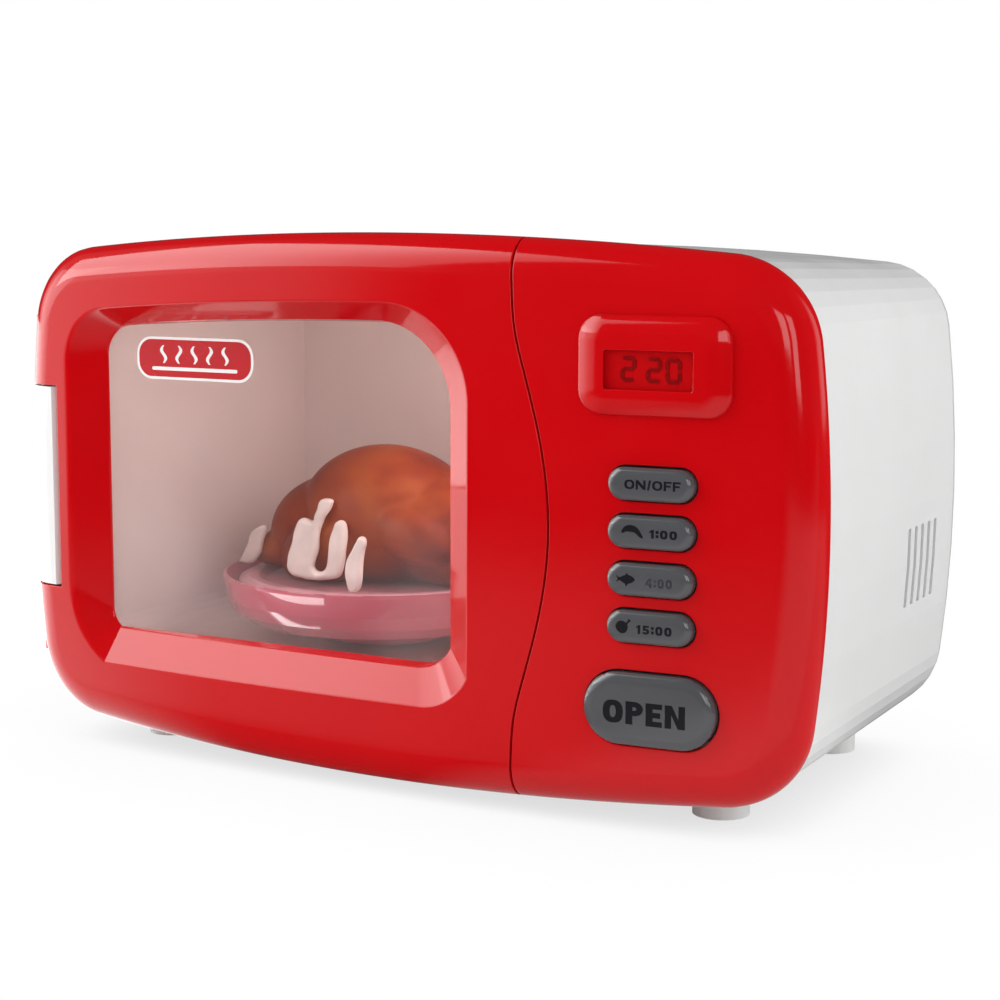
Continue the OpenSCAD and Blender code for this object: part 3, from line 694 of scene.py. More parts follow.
def smooth_cad(o, angle=24.0):
    """Smooth shading on a CAD node whose curved faces came as facets: only its normals change."""
    me = o.data
    me.normals_split_custom_set([(0, 0, 0)] * len(me.loops))
    me.polygons.foreach_set("use_smooth", np.ones(len(me.polygons), bool))
    bpy.context.view_layer.objects.active = o
    for x in bpy.context.selected_objects:
        x.select_set(False)
    o.select_set(True)
    bpy.ops.mesh.customdata_custom_splitnormals_clear()
    me.set_sharp_from_angle(angle=math.radians(angle))
    o.select_set(False)


def dress(material, *names):
    for n in names:
        o = NODES[n]
        o.data.materials.clear()
        o.data.materials.append(M[material])


dress("white_plastic_gloss", "casing", "rear_cover", "hinge_block", "battery_door", "front_frame", "door_latch_hook")
dress("liner_plastic", "cavity_liner", "door_inner_frame")
dress("inner_plastic", "latch_slide", "battery_box")
dress("display_glass", "display_window")
dress("display_back", "display_module")
dress("board_green", "circuit_board")
dress("key_silicone", "key_pad")
dress("foot_rubber", "feet")
dress("steel_zinc", "hinge_pins", "board_screws", "panel_screws", "frame_screws", "rear_screws", "hinge_block_screws",
      "door_screws", "motor_screws", "battery_door_screw")
dress("contact_nickel", "battery_contacts")
dress("speaker_paper", "speaker")
dress("lamp_diffuser", "lamp", "lamp_lens")
dress("motor_body", "gear_motor")
dress("cell_film", "batteries")
dress("wire_red", "battery_wires", "motor_wires")
dress("shaft_acetal", "drive_shaft")

for n in ("casing", "rear_cover", "front_frame", "cavity_liner", "hinge_block", "feet", "turntable_dish", "battery_door",
          "door_inner_frame", "window_pane"):
    smooth_cad(NODES[n])


# ------------------------------------------------------------------ door
def back_door(P):
    x = P[:, 0]
    return np.where(x < -133.5, 17.6, 20.0)


def build_door():
    bd = Build()
    soft = 0.55 + 1.25 * np.clip((-106 - LOUT[:, 0]) / 16, 0, 1) ** 1.5
    o05 = LOUT + soft[:, None] * loop_normals(LOUT)
    g0 = moved(LOUT, 2.2)
    shell(bd, lambda oo, s: door_runs(oo, s, s), [o05], [g0], 0.36, back_door)
    # recess: rounded outer edge, bevel, rounded inner edge, lip down to the pane
    centre = LINN.mean(0)
    O = xyz(LOUT, KF * LOUT[:, 0] ** 2)
    I = xyz(LINN, KF * LINN[:, 0] ** 2 + 8.0)
    Pf, Nf = surf(o05)
    nin = loop_normals(LINN)
    depth = 12.96 - I[:, 1]
    inset = 0.25 + 0.10 * depth
    L2 = LINN - nin * inset[:, None]
    L = xyz(L2, 12.96)
    R = I - O
    Rl = np.linalg.norm(R, axis=1)[:, None]
    b1 = O + R * ((1.1 * soft)[:, None] / Rl)
    a2 = I - R * (0.45 / Rl)
    lipd = unit(L - I)
    b2 = I + lipd * np.minimum(0.45, 0.4 * np.linalg.norm(L - I, axis=1))[:, None]
    S = LINN + 0.46 * (LOUT - LINN)
    R1 = LINN + 0.62 * (LOUT - LINN)
    for k in (0, 1):
        sl = (lambda A: parts(A)[k])
        o_, i_, r_ = sl(O), sl(I), sl(R)
        T = np.gradient(o_, axis=0) + np.gradient(i_, axis=0)
        nb = unit(np.cross(T, r_))
        nb[nb[:, 1] > 0] *= -1
        ld = sl(lipd)
        nl = unit(np.cross(np.gradient(i_, axis=0), ld))
        n2 = sl(xyz(-nin, 0.0))
        flip = np.einsum("ij,ij->i", nl, n2) < 0
        nl[flip] *= -1
        rows = bezier(sl(Pf), o_, sl(b1), sl(Nf), nb, 6)
        m = 6
        for t in range(1, m):
            rows.append((sl(b1) + (sl(a2) - sl(b1)) * t / m, nb))
        rows += bezier(sl(a2), i_, sl(b2), nb, nl, 3)
        rows.append((sl(L), nl))
        bd.rows(rows)
    yb = [0, 1, 0]
    bd.strip(L, yb, xyz(S, 12.96), yb, True)
    win = xyz(-loop_normals(LINN), 0.0)
    bd.strip(xyz(S, 12.96), win, xyz(S, 15.9), win, True)
    bd.strip(xyz(S, 15.9), yb, xyz(R1, 15.9), yb, True)
    r1y = KF * R1[:, 0] ** 2 + 10.2
    bd.strip(xyz(R1, 15.9), -win, xyz(R1, r1y), -win, True)
    G, GN = surf(g0, 10.5, 8.1, 2.2, 2.2)
    bd.strip(xyz(R1, r1y), unit(-win + np.array([0, 0.6, 0])), G, unit(-win * 0.5 + np.array([0, 1.0, 0])), True)
    # hinge knuckles and screw posts inside the shell
    for z in (36.7, -60.6):
        bd.rod((HX, HY, z), (HX, HY, z + 21.9), 2.3, 40, bore=1.3)
    for x, z in ((-128, 66), (-40, 74), (42, 66), (-128, -66), (-40, -72), (42, -66)):
        bd.rod((x, KF * x * x + 2.0, z), (x, 15.9, z), 3.0, 28)
    return bd.make("door_front", "door", M["red_plastic_gloss"], "red_plastic", ["door_shell"])


door = build_door()

# ------------------------------------------------------------------ control panel
BTN_X = 99.5
BTN_Z = [14.9 - 14.3 * i for i in range(4)]
OPEN_Z = -53.2
BTN_W, OPEN_W = 27.2, 42.2


def build_panel():
    bd = Build()
    pills = [(BTN_X, z, BTN_W + 0.9, 9.9 + 0.9) for z in BTN_Z] + [(BTN_X, OPEN_Z, OPEN_W + 1.0, 22.2 + 1.0)]
    r = 0.4
    front_h = [hole_pill(cx, cz, w + 2 * r, h + 2 * r) for cx, cz, w, h in pills]
    exact = [hole_pill(*p) for p in pills]
    disp = rrect(81.9, 116.1, 40.7, 56.5, 2)
    shell(bd, lambda oo, s: panel_runs(oo, s), front_h + [disp], exact + [disp], 0.36, lambda P: np.full(len(P), 20.0))
    for h, e in zip(front_h, exact):
        a, na = surf(h)
        c, _ = surf(e)
        w = xyz(-loop_normals(e), 0.0)
        b = c + np.array([0, r, 0])
        bd.rows(bezier(a, c, b, na, w, 4), True)
        i, _ = surf(e, 10.5, 8.1, 2.2, 2.2)
        bd.strip(b, w, i, w, True)
    a, _ = surf(disp)
    i, _ = surf(disp, 10.5, 8.1, 2.2, 2.2)
    w = xyz(-loop_normals(disp), 0.0)
    bd.strip(a, w, i, w, True)
    for x, z in ((134, 58), (134, -40), (72, 73), (66, -68)):
        bd.rod((x, KF * x * x + 2.0, z), (x, 20.4, z), 3.1, 28)
    for x, z in ((74, 20), (124.5, 20), (74, -33), (124.5, -33)):
        bd.rod((x, KF * x * x + 2.0, z), (x, 15.3, z), 2.7, 28)
    return bd.make("panel_front", "housing", M["red_plastic_gloss"], "red_plastic", ["control_panel"])


panel = build_panel()


# ------------------------------------------------------------------ display bezel, digits
DX = 98.9
DT = math.atan(2 * KF * DX)


def turned(P):
    """The display's own plane turned to lie along the curved face."""
    P = np.asarray(P, float)
    x, y = P[:, 0] - DX, P[:, 1]
    c, t = math.cos(DT), math.sin(DT)
    return np.stack([DX + x * c - y * t, KF * DX * DX + x * t + y * c, P[:, 2]], 1)


def skin(bd, rows, centre):
    """Closed rows joined with smooth normals that point away from a centre."""
    R = np.array(rows)
    across = np.gradient(R, axis=0)
    along = np.roll(R, -1, axis=1) - np.roll(R, 1, axis=1)
    N = unit(np.cross(along, across))
    f = np.einsum("ijk,ijk->ij", N, R - np.asarray(centre, float)) < 0
    N[f] *= -1
    bd.rows([(R[i], N[i]) for i in range(len(R))], True)
    return N[-1]


def build_bezel():
    bd = Build()
    prof = [(0.0, 0.0, -0.3), (0.03, 0.03, 0.25), (0.22, 0.16, 0.85), (0.45, 0.32, 1.22), (0.80, 0.55, 1.50), (1.30, 0.88, 1.68)]
    for i in range(1, 15):
        f = i / 14
        prof.append((1.30 + 6.8 * f, 0.88 + 4.68 * f, 1.68 + 1.72 * (1 - (1 - f) ** 1.8)))
    rows = []
    for a, c, h in prof:
        L = rrect(75.4 + a, 124 - a, 34.9 + c, 64.8 - c, 7.5 - 5.2 * a / 8.1, 10)
        rows.append(xyz(L, KF * L[:, 0] ** 2 - h))
    skin(bd, rows, (99.7, 9.0, 49.85))
    top_loop = rows[-1][:, [0, 2]]
    h0 = 3.4
    flat = lambda P: unit(np.stack([2 * KF * P[:, 0], np.full(len(P), -1.0), np.zeros(len(P))], 1))
    hole = rrect(84.9, 112.9, 42.8, 54.4, 0.7)
    hole_r = rrect(84.9 - 0.3, 112.9 + 0.3, 42.8 - 0.3, 54.4 + 0.3, 1.0)
    P, F = sheet(top_loop, [hole_r], grid(76, 125, 35, 65, 2.6), 0.6)
    bd.add(xyz(P, KF * P[:, 0] ** 2 - h0), flat(P), F)
    a = xyz(hole_r, KF * hole_r[:, 0] ** 2 - h0)
    c = xyz(hole, KF * hole[:, 0] ** 2 - h0)
    w = xyz(-loop_normals(hole), 0.0)
    b = xyz(hole, c[:, 1] + 0.25)
    bd.rows(bezier(a, c, b, flat(hole_r), w, 4), True)
    low = xyz(hole, KF * hole[:, 0] ** 2 - 2.95)
    bd.strip(b, w, low, w, True)
    seat = rrect(83.6, 114.2, 41.9, 55.3, 0.9)
    back = [0, 1, 0]
    seat_y = KF * seat[:, 0] ** 2 - 2.95
    bd.strip(low, back, xyz(seat, seat_y), back, True)
    ws = xyz(-loop_normals(seat), 0.0)
    bd.strip(xyz(seat, seat_y), ws, xyz(seat, 8.4), ws, True)
    lin = rrect(82.4, 115.6, 41.2, 56.0, 1.6)
    bd.strip(xyz(seat, 8.4), back, xyz(lin, 8.4), back, True)
    wl = xyz(loop_normals(lin), 0.0)
    bd.strip(xyz(lin, 8.4), wl, xyz(lin, KF * lin[:, 0] ** 2 + 0.3), wl, True)
    base = rows[0][:, [0, 2]]
    P, F = sheet(base, [rrect(82.4, 115.6, 41.2, 56.0, 1.6)], np.zeros((0, 2)))
    bd.add(xyz(P, KF * P[:, 0] ** 2 + 0.3), back, F)
    return bd.make("bezel_front", "housing", M["red_plastic_gloss"], "red_plastic", ["display_bezel"])


bezel = build_bezel()


def prism(bd, loop, y0, y1, soft=0.0):
    """Closed plate from y0 (front) to y1 (back) with an outline in X and Z."""
    loop = tidy(loop)
    P, F = sheet(loop, [], np.zeros((0, 2)))
    f = (lambda p: np.full(len(p), y0)) if not callable(y0) else y0
    g = (lambda p: np.full(len(p), y1)) if not callable(y1) else y1
    bd.add(xyz(P, f(P)), [0, -1, 0], F)
    bd.add(xyz(P, g(P)), [0, 1, 0], F)
    n = loop_normals(loop)
    if area(loop) < 0:
        n = -n
    for i in range(len(loop)):
        j = (i + 1) % len(loop)
        e = unit(loop[j] - loop[i])
        m = np.array([e[1], -e[0]]) * (1 if area(loop) > 0 else -1)
        A = np.array([loop[i], loop[j]])
        bd.strip(xyz(A, f(A)), [m[0], 0, m[1]], xyz(A, g(A)), [m[0], 0, m[1]])


def area(loop):
    x, y = loop[:, 0], loop[:, 1]
    return 0.5 * np.sum(x * np.roll(y, -1) - y * np.roll(x, -1))


def bar(x, z, length, upright, t):
    """One bar of a seven-segment figure with rounded ends."""
    p = hole_pill(0, 0, length, t, 6)
    if upright:
        p = p[:, ::-1][::-1]
    return p + np.array([x, z])


def build_digits():
    bd = Build()
    w, h, t = 3.75, 6.35, 1.28
    on = {"2": (1, 1, 0, 1, 1, 0, 1), "0": (1, 1, 1, 1, 1, 1, 0)}
    for x, z, c in ((91.95, 48.85, "2"), (100.0, 48.7, "2"), (106.1, 48.55, "0")):
        bars = [(0, h / 2, w, 0), (w / 2, h / 4, h / 2, 1), (w / 2, -h / 4, h / 2, 1), (0, -h / 2, w, 0),
                (-w / 2, -h / 4, h / 2, 1), (-w / 2, h / 4, h / 2, 1), (0, 0, w, 0)]
        for i, (bx, bz, ln, up) in enumerate(bars):
            if on[c][i]:
                part = Build()
                prism(part, bar(x + bx, z + bz, ln - 0.12, up, t), -1.55, -1.32)
                for V, N, F in zip(part.V, part.N, part.F):
                    bd.V.append(turned(V)); bd.N.append(N); bd.F.append(F + bd.n)
                bd.n += part.n
    return bd.make("display_figures", "housing", M["display_ink"], "display_dark", ["display_digits"])


digits = build_digits()


# ------------------------------------------------------------------ buttons
def pill_top(bd, cx, cz, w, h, out, ew, ed, crown):
    """Button cap: domed top with a rounded edge, straight wall, closed behind."""
    r = h / 2
    half = w / 2 - r

    def height(P):
        x, z = P[:, 0] - cx, P[:, 1] - cz
        qx = np.clip(x, -half, half)
        v = np.stack([x - qx, z], 1)
        d = r - np.linalg.norm(v, axis=1)
        dirn = unit(v + 1e-12)
        u = np.clip((ew - d) / ew, 0, 1)
        s = np.sqrt(np.maximum(1 - u * u, 0))
        c = 1 - np.clip(d, 0, r) / r
        y = KF * P[:, 0] ** 2 - out + ed * (1 - s) + crown * (c * c)
        g = (ed / ew) * u
        k = 2 * crown * c / r
        N = np.stack([s * (2 * KF * P[:, 0] + k * dirn[:, 0]) + g * dirn[:, 0], -s - 1e-9, s * k * dirn[:, 1] + g * dirn[:, 1]], 1)
        return y, unit(N)

    pts = []
    for d in (0.04, 0.15, 0.35, 0.65, 1.0, 1.45, 2.0, 2.7, 3.5):
        if d < r - 0.3:
            pts.append(hole_pill(cx, cz, w - 2 * d, h - 2 * d))
    pts.append(grid(cx - w / 2, cx + w / 2, cz - h / 2, cz + h / 2, 1.6))
    edge = hole_pill(cx, cz, w, h)
    P, F = sheet(edge, [], np.concatenate(pts), 0.02)
    y, N = height(P)
    bd.add(xyz(P, y), N, F)
    ye, _ = height(edge)
    wn = xyz(loop_normals(edge), 0.0)
    bd.strip(xyz(edge, ye), wn, xyz(edge, 7.5), wn, True)
    P, F = sheet(edge, [], np.zeros((0, 2)))
    bd.add(xyz(P, 7.5), [0, 1, 0], F)
    return height


def build_button(name, cz):
    bd = Build()
    hf = pill_top(bd, BTN_X, cz, BTN_W, 9.9, 3.0, 2.3, 1.35, 0.35)
    prism(bd, hole_pill(BTN_X, cz, BTN_W + 2.6, 9.9 + 2.2, 12), 7.4, 8.9)
    bd.rod((BTN_X, 8.85, cz), (BTN_X, 11.2, cz), 3.0, 32)
    o = bd.make(name + "_cap", "key_" + name[7:], M["button_plastic"], "button_grey", [name])
    return o, hf


def build_open():
    bd = Build()
    hf = pill_top(bd, BTN_X, OPEN_Z, OPEN_W, 22.2, 3.0, 3.4, 1.6, 0.35)
    prism(bd, hole_pill(BTN_X, OPEN_Z, OPEN_W + 3, 22.2 + 2.4, 12), 8.0, 9.6)
    # wedge that drives the latch slide
    w = np.array([[94, 9.5], [104, 9.5], [104, 12], [98, 18], [94, 18]])
    z0, z1 = OPEN_Z - 4, OPEN_Z + 4
    lo = np.stack([w[:, 0], w[:, 1], np.full(5, z0)], 1)
    hi = np.stack([w[:, 0], w[:, 1], np.full(5, z1)], 1)
    for i in range(5):
        j = (i + 1) % 5
        e = unit(w[j] - w[i])
        n = np.array([e[1], -e[0], 0])
        bd.strip(np.array([lo[i], lo[j]]), n, np.array([hi[i], hi[j]]), n)
    bd.fan(lo[0], lo[1:], [0, 0, -1])
    bd.fan(hi[0], hi[1:], [0, 0, 1])
    o = bd.make("button_open_cap", "key_open", M["button_plastic"], "button_grey", ["button_open"])
    return o, hf


def oval(cx, cz, rx, rz, p=2.5, k=36):
    t = np.arange(k) * 2 * math.pi / k
    c, s_ = np.cos(t), np.sin(t)
    return np.stack([cx + rx * np.sign(c) * np.abs(c) ** (2 / p), cz + rz * np.sign(s_) * np.abs(s_) ** (2 / p)], 1)


def glyph(ch, h, k, tv, th):
    """Own block lettering: outlines (outer, holes) and the letter's width. k widens, tv and th are stroke widths."""
    wide = {"O": 1.0, "P": 0.86, "E": 0.80, "N": 0.98, "F": 0.76, "/": 0.42, "0": 0.80, "1": 0.46, "4": 0.84, "5": 0.80, ":": 0.26}[ch]
    w = wide * h * k
    A = lambda cx, cz, rx, rz, a, b, m: [(cx + rx * math.cos(math.radians(t)), cz + rz * math.sin(math.radians(t))) for t in np.linspace(a, b, m)]
    if ch in "O0":
        return [(oval(w / 2, h / 2, w / 2, h / 2), [oval(w / 2, h / 2, w / 2 - tv, h / 2 - th, 2.2)])], w
    if ch == "P":
        r, q = (h * 0.62) / 2, w * 0.52
        o = [(0, 0), (tv, 0), (tv, h - 2 * r)] + A(q, h - r, w - q, r, -90, 90, 12) + [(0, h)]
        i = [(tv, h - 2 * r + th)] + A(q * 0.98, h - r, w - q - tv * 0.9, r - th, -90, 90, 9) + [(tv, h - th)]
        return [(o, [i])], w
    if ch in "EF":
        o = [(0, 0), (w, 0), (w, th), (tv, th), (tv, (h - th) / 2), (w * 0.9, (h - th) / 2), (w * 0.9, (h + th) / 2),
             (tv, (h + th) / 2), (tv, h - th), (w, h - th), (w, h), (0, h)]
        if ch == "F":
            o = [(0, 0), (tv, 0)] + o[4:]
        return [(o, [])], w
    if ch == "N":
        return [([(0, 0), (tv * 0.92, 0), (tv * 0.92, h * 0.60), (w - tv, 0), (w, 0), (w, h), (w - tv * 0.92, h), (w - tv * 0.92, h * 0.40), (tv, h), (0, h)], [])], w
    if ch == "/":
        return [([(0, -h * 0.04), (tv * 0.9, -h * 0.04), (w, h * 1.04), (w - tv * 0.9, h * 1.04)], [])], w
    if ch == "1":
        x = w - tv
        return [([(x, 0), (w, 0), (w, h), (x + tv * 0.25, h), (0, h * 0.80), (0, h * 0.80 - th * 0.95), (x, h * 0.74)], [])], w
    if ch == "4":
        x = w * 0.60
        o = [(x, 0), (x + tv, 0), (x + tv, h * 0.22), (w, h * 0.22), (w, h * 0.22 + th), (x + tv, h * 0.22 + th), (x + tv, h), (x - tv * 0.15, h), (0, h * 0.22 + th), (0, h * 0.22), (x, h * 0.22)]
        i = [(x, h * 0.22 + th), (x, h * 0.74), (w * 0.26, h * 0.22 + th)]
        return [(o, [i])], w
    if ch == "5":
        cx, cz, rx, rz = w * 0.48, h * 0.335, w * 0.52, h * 0.335
        o = [(w * 0.12, h), (w * 0.94, h), (w * 0.94, h - th), (w * 0.12 + tv * 0.85, h - th), (w * 0.12 + tv * 0.85, h * 0.645)]
        o += A(cx, cz, rx, rz, 88, -155, 16) + A(cx, cz, rx - tv, rz - th, -155, 120, 13) + [(w * 0.10, h * 0.42)]
        return [(o, [])], w
    q = tv * 1.05
    return [([(0, z), (q, z), (q, z + q), (0, z + q)], []) for z in (h * 0.10, h * 0.58)], q


def line_of(text, cx, cz, width, h, tv, th, gap=0.16):
    """Lettering fitted to a width: triangles in X and Z."""
    def lay(k):
        x, shapes = 0.0, []
        for ch in text:
            parts_, w = glyph(ch, h, k, tv, th)
            shapes.append((x, parts_))
            x += w + gap * h * (0.85 if ch in ":/" else 1.0)
        return x - gap * h, shapes
    k = 1.0
    for _ in range(12):
        k *= width / lay(k)[0]
    total, shapes = lay(k)
    Vs, Fs, n = [], [], 0
    for x, ps in shapes:
        for o, holes in ps:
            off = np.array([cx - total / 2 + x, cz - h / 2])
            O = np.array(o) + off
            H = [np.array(i) + off for i in holes]
            P, F = sheet(O, H, grid(O[:, 0].min(), O[:, 0].max(), O[:, 1].min(), O[:, 1].max(), 0.8), 0.12)
            t = P[F]
            c = np.cross(t[:, 1] - t[:, 0], t[:, 2] - t[:, 0])
            F[c < 0] = F[c < 0][:, ::-1]
            Vs.append(P); Fs.append(F + n); n += len(P)
    return np.concatenate(Vs), np.concatenate(Fs)


def stamp(bd, V, F, hf, lift=0.03, deep=0.06):
    """Thin raised print that follows the button's top."""
    y, N = hf(V)
    top = xyz(V, y - lift)
    low = xyz(V, y + deep)
    bd.add(top, N, F)
    bd.add(low, [0, 1, 0], F)
    # side walls on the border edges
    e = {}
    for f in F:
        for a, b in ((f[0], f[1]), (f[1], f[2]), (f[2], f[0])):
            e[(a, b)] = e.get((a, b), 0) + 1
    for (a, b) in e:
        if (b, a) not in e:
            d = unit(V[b] - V[a])
            c = V[[a, b]].mean(0)
            n = np.array([d[1], 0.0, -d[0]])
            bd.strip(top[[a, b]], n, low[[a, b]], n)


def poly_print(loop, cx, cz, scale=1.0, step=0.5):
    loop = np.asarray(loop, float) * scale + np.array([cx, cz])
    P, F = sheet(loop, [], grid(loop[:, 0].min(), loop[:, 0].max(), loop[:, 1].min(), loop[:, 1].max(), step), 0.08)
    t = P[F]
    s = np.cross(t[:, 1] - t[:, 0], t[:, 2] - t[:, 0])
    F[s < 0] = F[s < 0][:, ::-1]
    return P, F


def spline(points, k=6):
    """Smooth closed loop through points."""
    p = np.asarray(points, float)
    out = []
    n = len(p)
    for i in range(n):
        a, b, c, d = p[(i - 1) % n], p[i], p[(i + 1) % n], p[(i + 2) % n]
        for t in np.arange(k) / k:
            out.append(0.5 * ((2 * b) + (-a + c) * t + (2 * a - 5 * b + 4 * c - d) * t ** 2 + (-a + 3 * b - 3 * c + d) * t ** 3))
    return np.array(out)


ARCH = spline([(-3.5, -0.5), (-3.0, 0.55), (-2.0, 1.45), (-0.4, 1.75), (1.1, 1.35), (2.3, 0.2), (3.4, -1.75), (2.5, -1.85),
               (1.6, -1.05), (0.6, -0.4), (-0.7, -0.25), (-2.0, -0.25), (-2.8, -0.75)])
FISH = spline([(-3.1, 1.0), (-2.0, 0.45), (-1.1, 0.9), (-0.1, 1.35), (0.25, 2.0), (0.75, 1.4), (1.8, 1.05), (2.9, 0.1),
               (1.9, -0.95), (0.7, -1.35), (0.1, -2.1), (-0.3, -1.35), (-1.2, -0.85), (-2.0, -0.4), (-3.1, -1.0), (-2.6, 0.0)])
LEG = spline([(-2.3, -0.4), (-2.0, 0.9), (-0.9, 1.7), (0.3, 1.55), (1.0, 1.25), (1.55, 1.75), (1.75, 2.35), (2.2, 2.2),
              (2.55, 1.85), (2.0, 1.4), (1.5, 0.8), (1.6, -0.2), (1.2, -1.4), (0.1, -2.1), (-1.2, -1.8)])

BUTTONS = {}
for nm, cz in zip(("button_on_off", "button_1_00", "button_4_00", "button_15_00"), BTN_Z):
    BUTTONS[nm] = build_button(nm, cz)
BUTTONS["button_open"] = build_open()


def build_prints():
    jobs = {
        "button_on_off": [("t", "ON/OFF", 1.2, 0.05, 17.6, 2.8, 0.74, 0.54, 0.15)],
        "button_1_00": [("p", ARCH, -5.0, 0.5, 1.0), ("t", "1:00", 4.8, -0.05, 8.6, 2.6, 0.84, 0.62, 0.22)],
        "button_4_00": [("p", FISH, -6.9, 0.2, 1.0), ("t", "4:00", 3.5, -0.4, 8.4, 2.7, 0.66, 0.5, 0.22)],
        "button_15_00": [("p", LEG, -7.7, 0.2, 1.0), ("t", "15:00", 2.2, -0.3, 11.2, 2.7, 0.84, 0.62, 0.2)],
        "button_open": [("t", "OPEN", -0.8, -0.7, 26.3, 7.0, 2.25, 1.62, 0.12)],
    }
    for nm, items in jobs.items():
        o, hf = BUTTONS[nm]
        cz = OPEN_Z if nm == "button_open" else BTN_Z[list(jobs).index(nm)]
        bd, worn = Build(), Build()
        for it in items:
            if it[0] == "t":
                V, F = line_of(it[1], BTN_X + it[2], cz + it[3], *it[4:])
                stamp(worn if it[1] == "4:00" else bd, V, F, hf)
            else:
                V, F = poly_print(it[1], BTN_X + it[2], cz + it[3], it[4])
                stamp(bd, V, F, hf)
        bd.make(nm + "_print", "key_" + nm[7:], M["print_black"], "button_grey")
        if worn.n:
            worn.make(nm + "_print_worn", "key_" + nm[7:], M["print_worn"], "button_grey")


build_prints()

# ------------------------------------------------------------------ window pane and sticker
pane = principled("pane_clear", (0.74, 0.62, 0.62), 0.08, ior=1.49)
pb = pane.node_tree.nodes["Principled BSDF"]
pn = noise_tex(pane, 13.0, 2.5, 0.5)
pn.inputs["Distortion"].default_value = 0.6
pr = node(pane, "ShaderNodeMapRange")
wire(pane, pn.outputs["Fac"], pr.inputs["Value"])
pr.inputs["From Min"].default_value = 0.35
pr.inputs["From Max"].default_value = 0.65
pr.inputs["To Min"].default_value = 0.012
pr.inputs["To Max"].default_value = 0.034
pxyz = node(pane, "ShaderNodeSeparateXYZ")
wire(pane, coords(pane), pxyz.inputs[0])
# Painted reflection: the pane's whitish haze is made up to 3.4 times thicker towards the left, a sheen put into the
# surface where a reflection shows.
painted_sheen_left = node(pane, "ShaderNodeMapRange", interpolation_type="SMOOTHSTEP")
wire(pane, pxyz.outputs["X"], painted_sheen_left.inputs["Value"])
painted_sheen_left.inputs["From Min"].default_value = -0.118
painted_sheen_left.inputs["From Max"].default_value = -0.030
painted_sheen_left.inputs["To Min"].default_value = 3.4
painted_sheen_left.inputs["To Max"].default_value = 1.0
fa = node(pane, "ShaderNodeMath", operation="MULTIPLY")
wire(pane, pr.outputs["Result"], fa.inputs[0])
wire(pane, painted_sheen_left.outputs["Result"], fa.inputs[1])
# Painted sheen: the haze is also made up to 2.9 times thicker towards the bottom of the pane, so the lower inside
# reads lighter.
low = node(pane, "ShaderNodeMapRange", interpolation_type="SMOOTHSTEP")
wire(pane, pxyz.outputs["Z"], low.inputs["Value"])
low.inputs["From Min"].default_value = 0.040
low.inputs["From Max"].default_value = 0.105
low.inputs["To Min"].default_value = 2.9
low.inputs["To Max"].default_value = 0.75
fb_ = node(pane, "ShaderNodeMath", operation="MULTIPLY")
wire(pane, fa.outputs[0], fb_.inputs[0])
wire(pane, low.outputs["Result"], fb_.inputs[1])
wire(pane, fb_.outputs[0], pb.inputs["Alpha"])
M["pane_clear"] = pane
dress("pane_clear", "window_pane")

mat("sticker_white", (0.86, 0.84, 0.83), 0.25, dict(vary=0.02, grain=0.05, rough_vary=0.03))
mat("sticker_red", (0.50, 0.006, 0.012), 0.25, dict(vary=0.05, scale=60.0, grain=0.05, rough_vary=0.03))


def wave(x, z0, z1, t, amp, phase):
    z = np.linspace(z0, z1, 26)
    c = x + amp * np.sin((z - z0) / (z1 - z0) * 2 * math.pi + phase)
    w = t * (0.45 + 0.55 * np.sin((z - z0) / (z1 - z0) * math.pi))
    return np.concatenate([np.stack([c + w, z], 1), np.stack([c - w, z], 1)[::-1]])


def build_sticker():
    a = Build()
    prism(a, rrect(-101, -52, 38, 52.5, 6), 12.80, 12.985)
    a.make("sticker_rim", "door", M["sticker_white"], "window_sticker", ["window_label"])
    b = Build()
    prism(b, rrect(-100.1, -52.9, 38.9, 51.6, 5.2), 12.75, 12.81)
    b.make("sticker_field", "door", M["sticker_red"], "window_sticker")
    c = Build()
    for i in range(5):
        x = -89.5 + i * 6.5
        prism(c, wave(x, 43.6, 49.6, 0.75, 0.85, 0.0 if i % 2 == 0 else math.pi), 12.70, 12.76)
    prism(c, rrect(-94.5, -58.5, 41.1, 42.3, 0.55), 12.70, 12.76)
    c.make("sticker_motif", "door", M["sticker_white"], "window_sticker")


build_sticker()

# ------------------------------------------------------------------ dish, chicken, garnish
dish = principled("dish_clear_red", (0.70, 0.105, 0.165), 0.10, ior=1.5, trans=0.0, alpha=0.80, coat=0.6, coat_rough=0.04)
finish_surface(dish, (0.70, 0.105, 0.165), vary=0.08, scale=14.0, rough=0.1, rough_vary=0.03)
M["dish_clear_red"] = dish
dress("dish_clear_red", "turntable_dish")


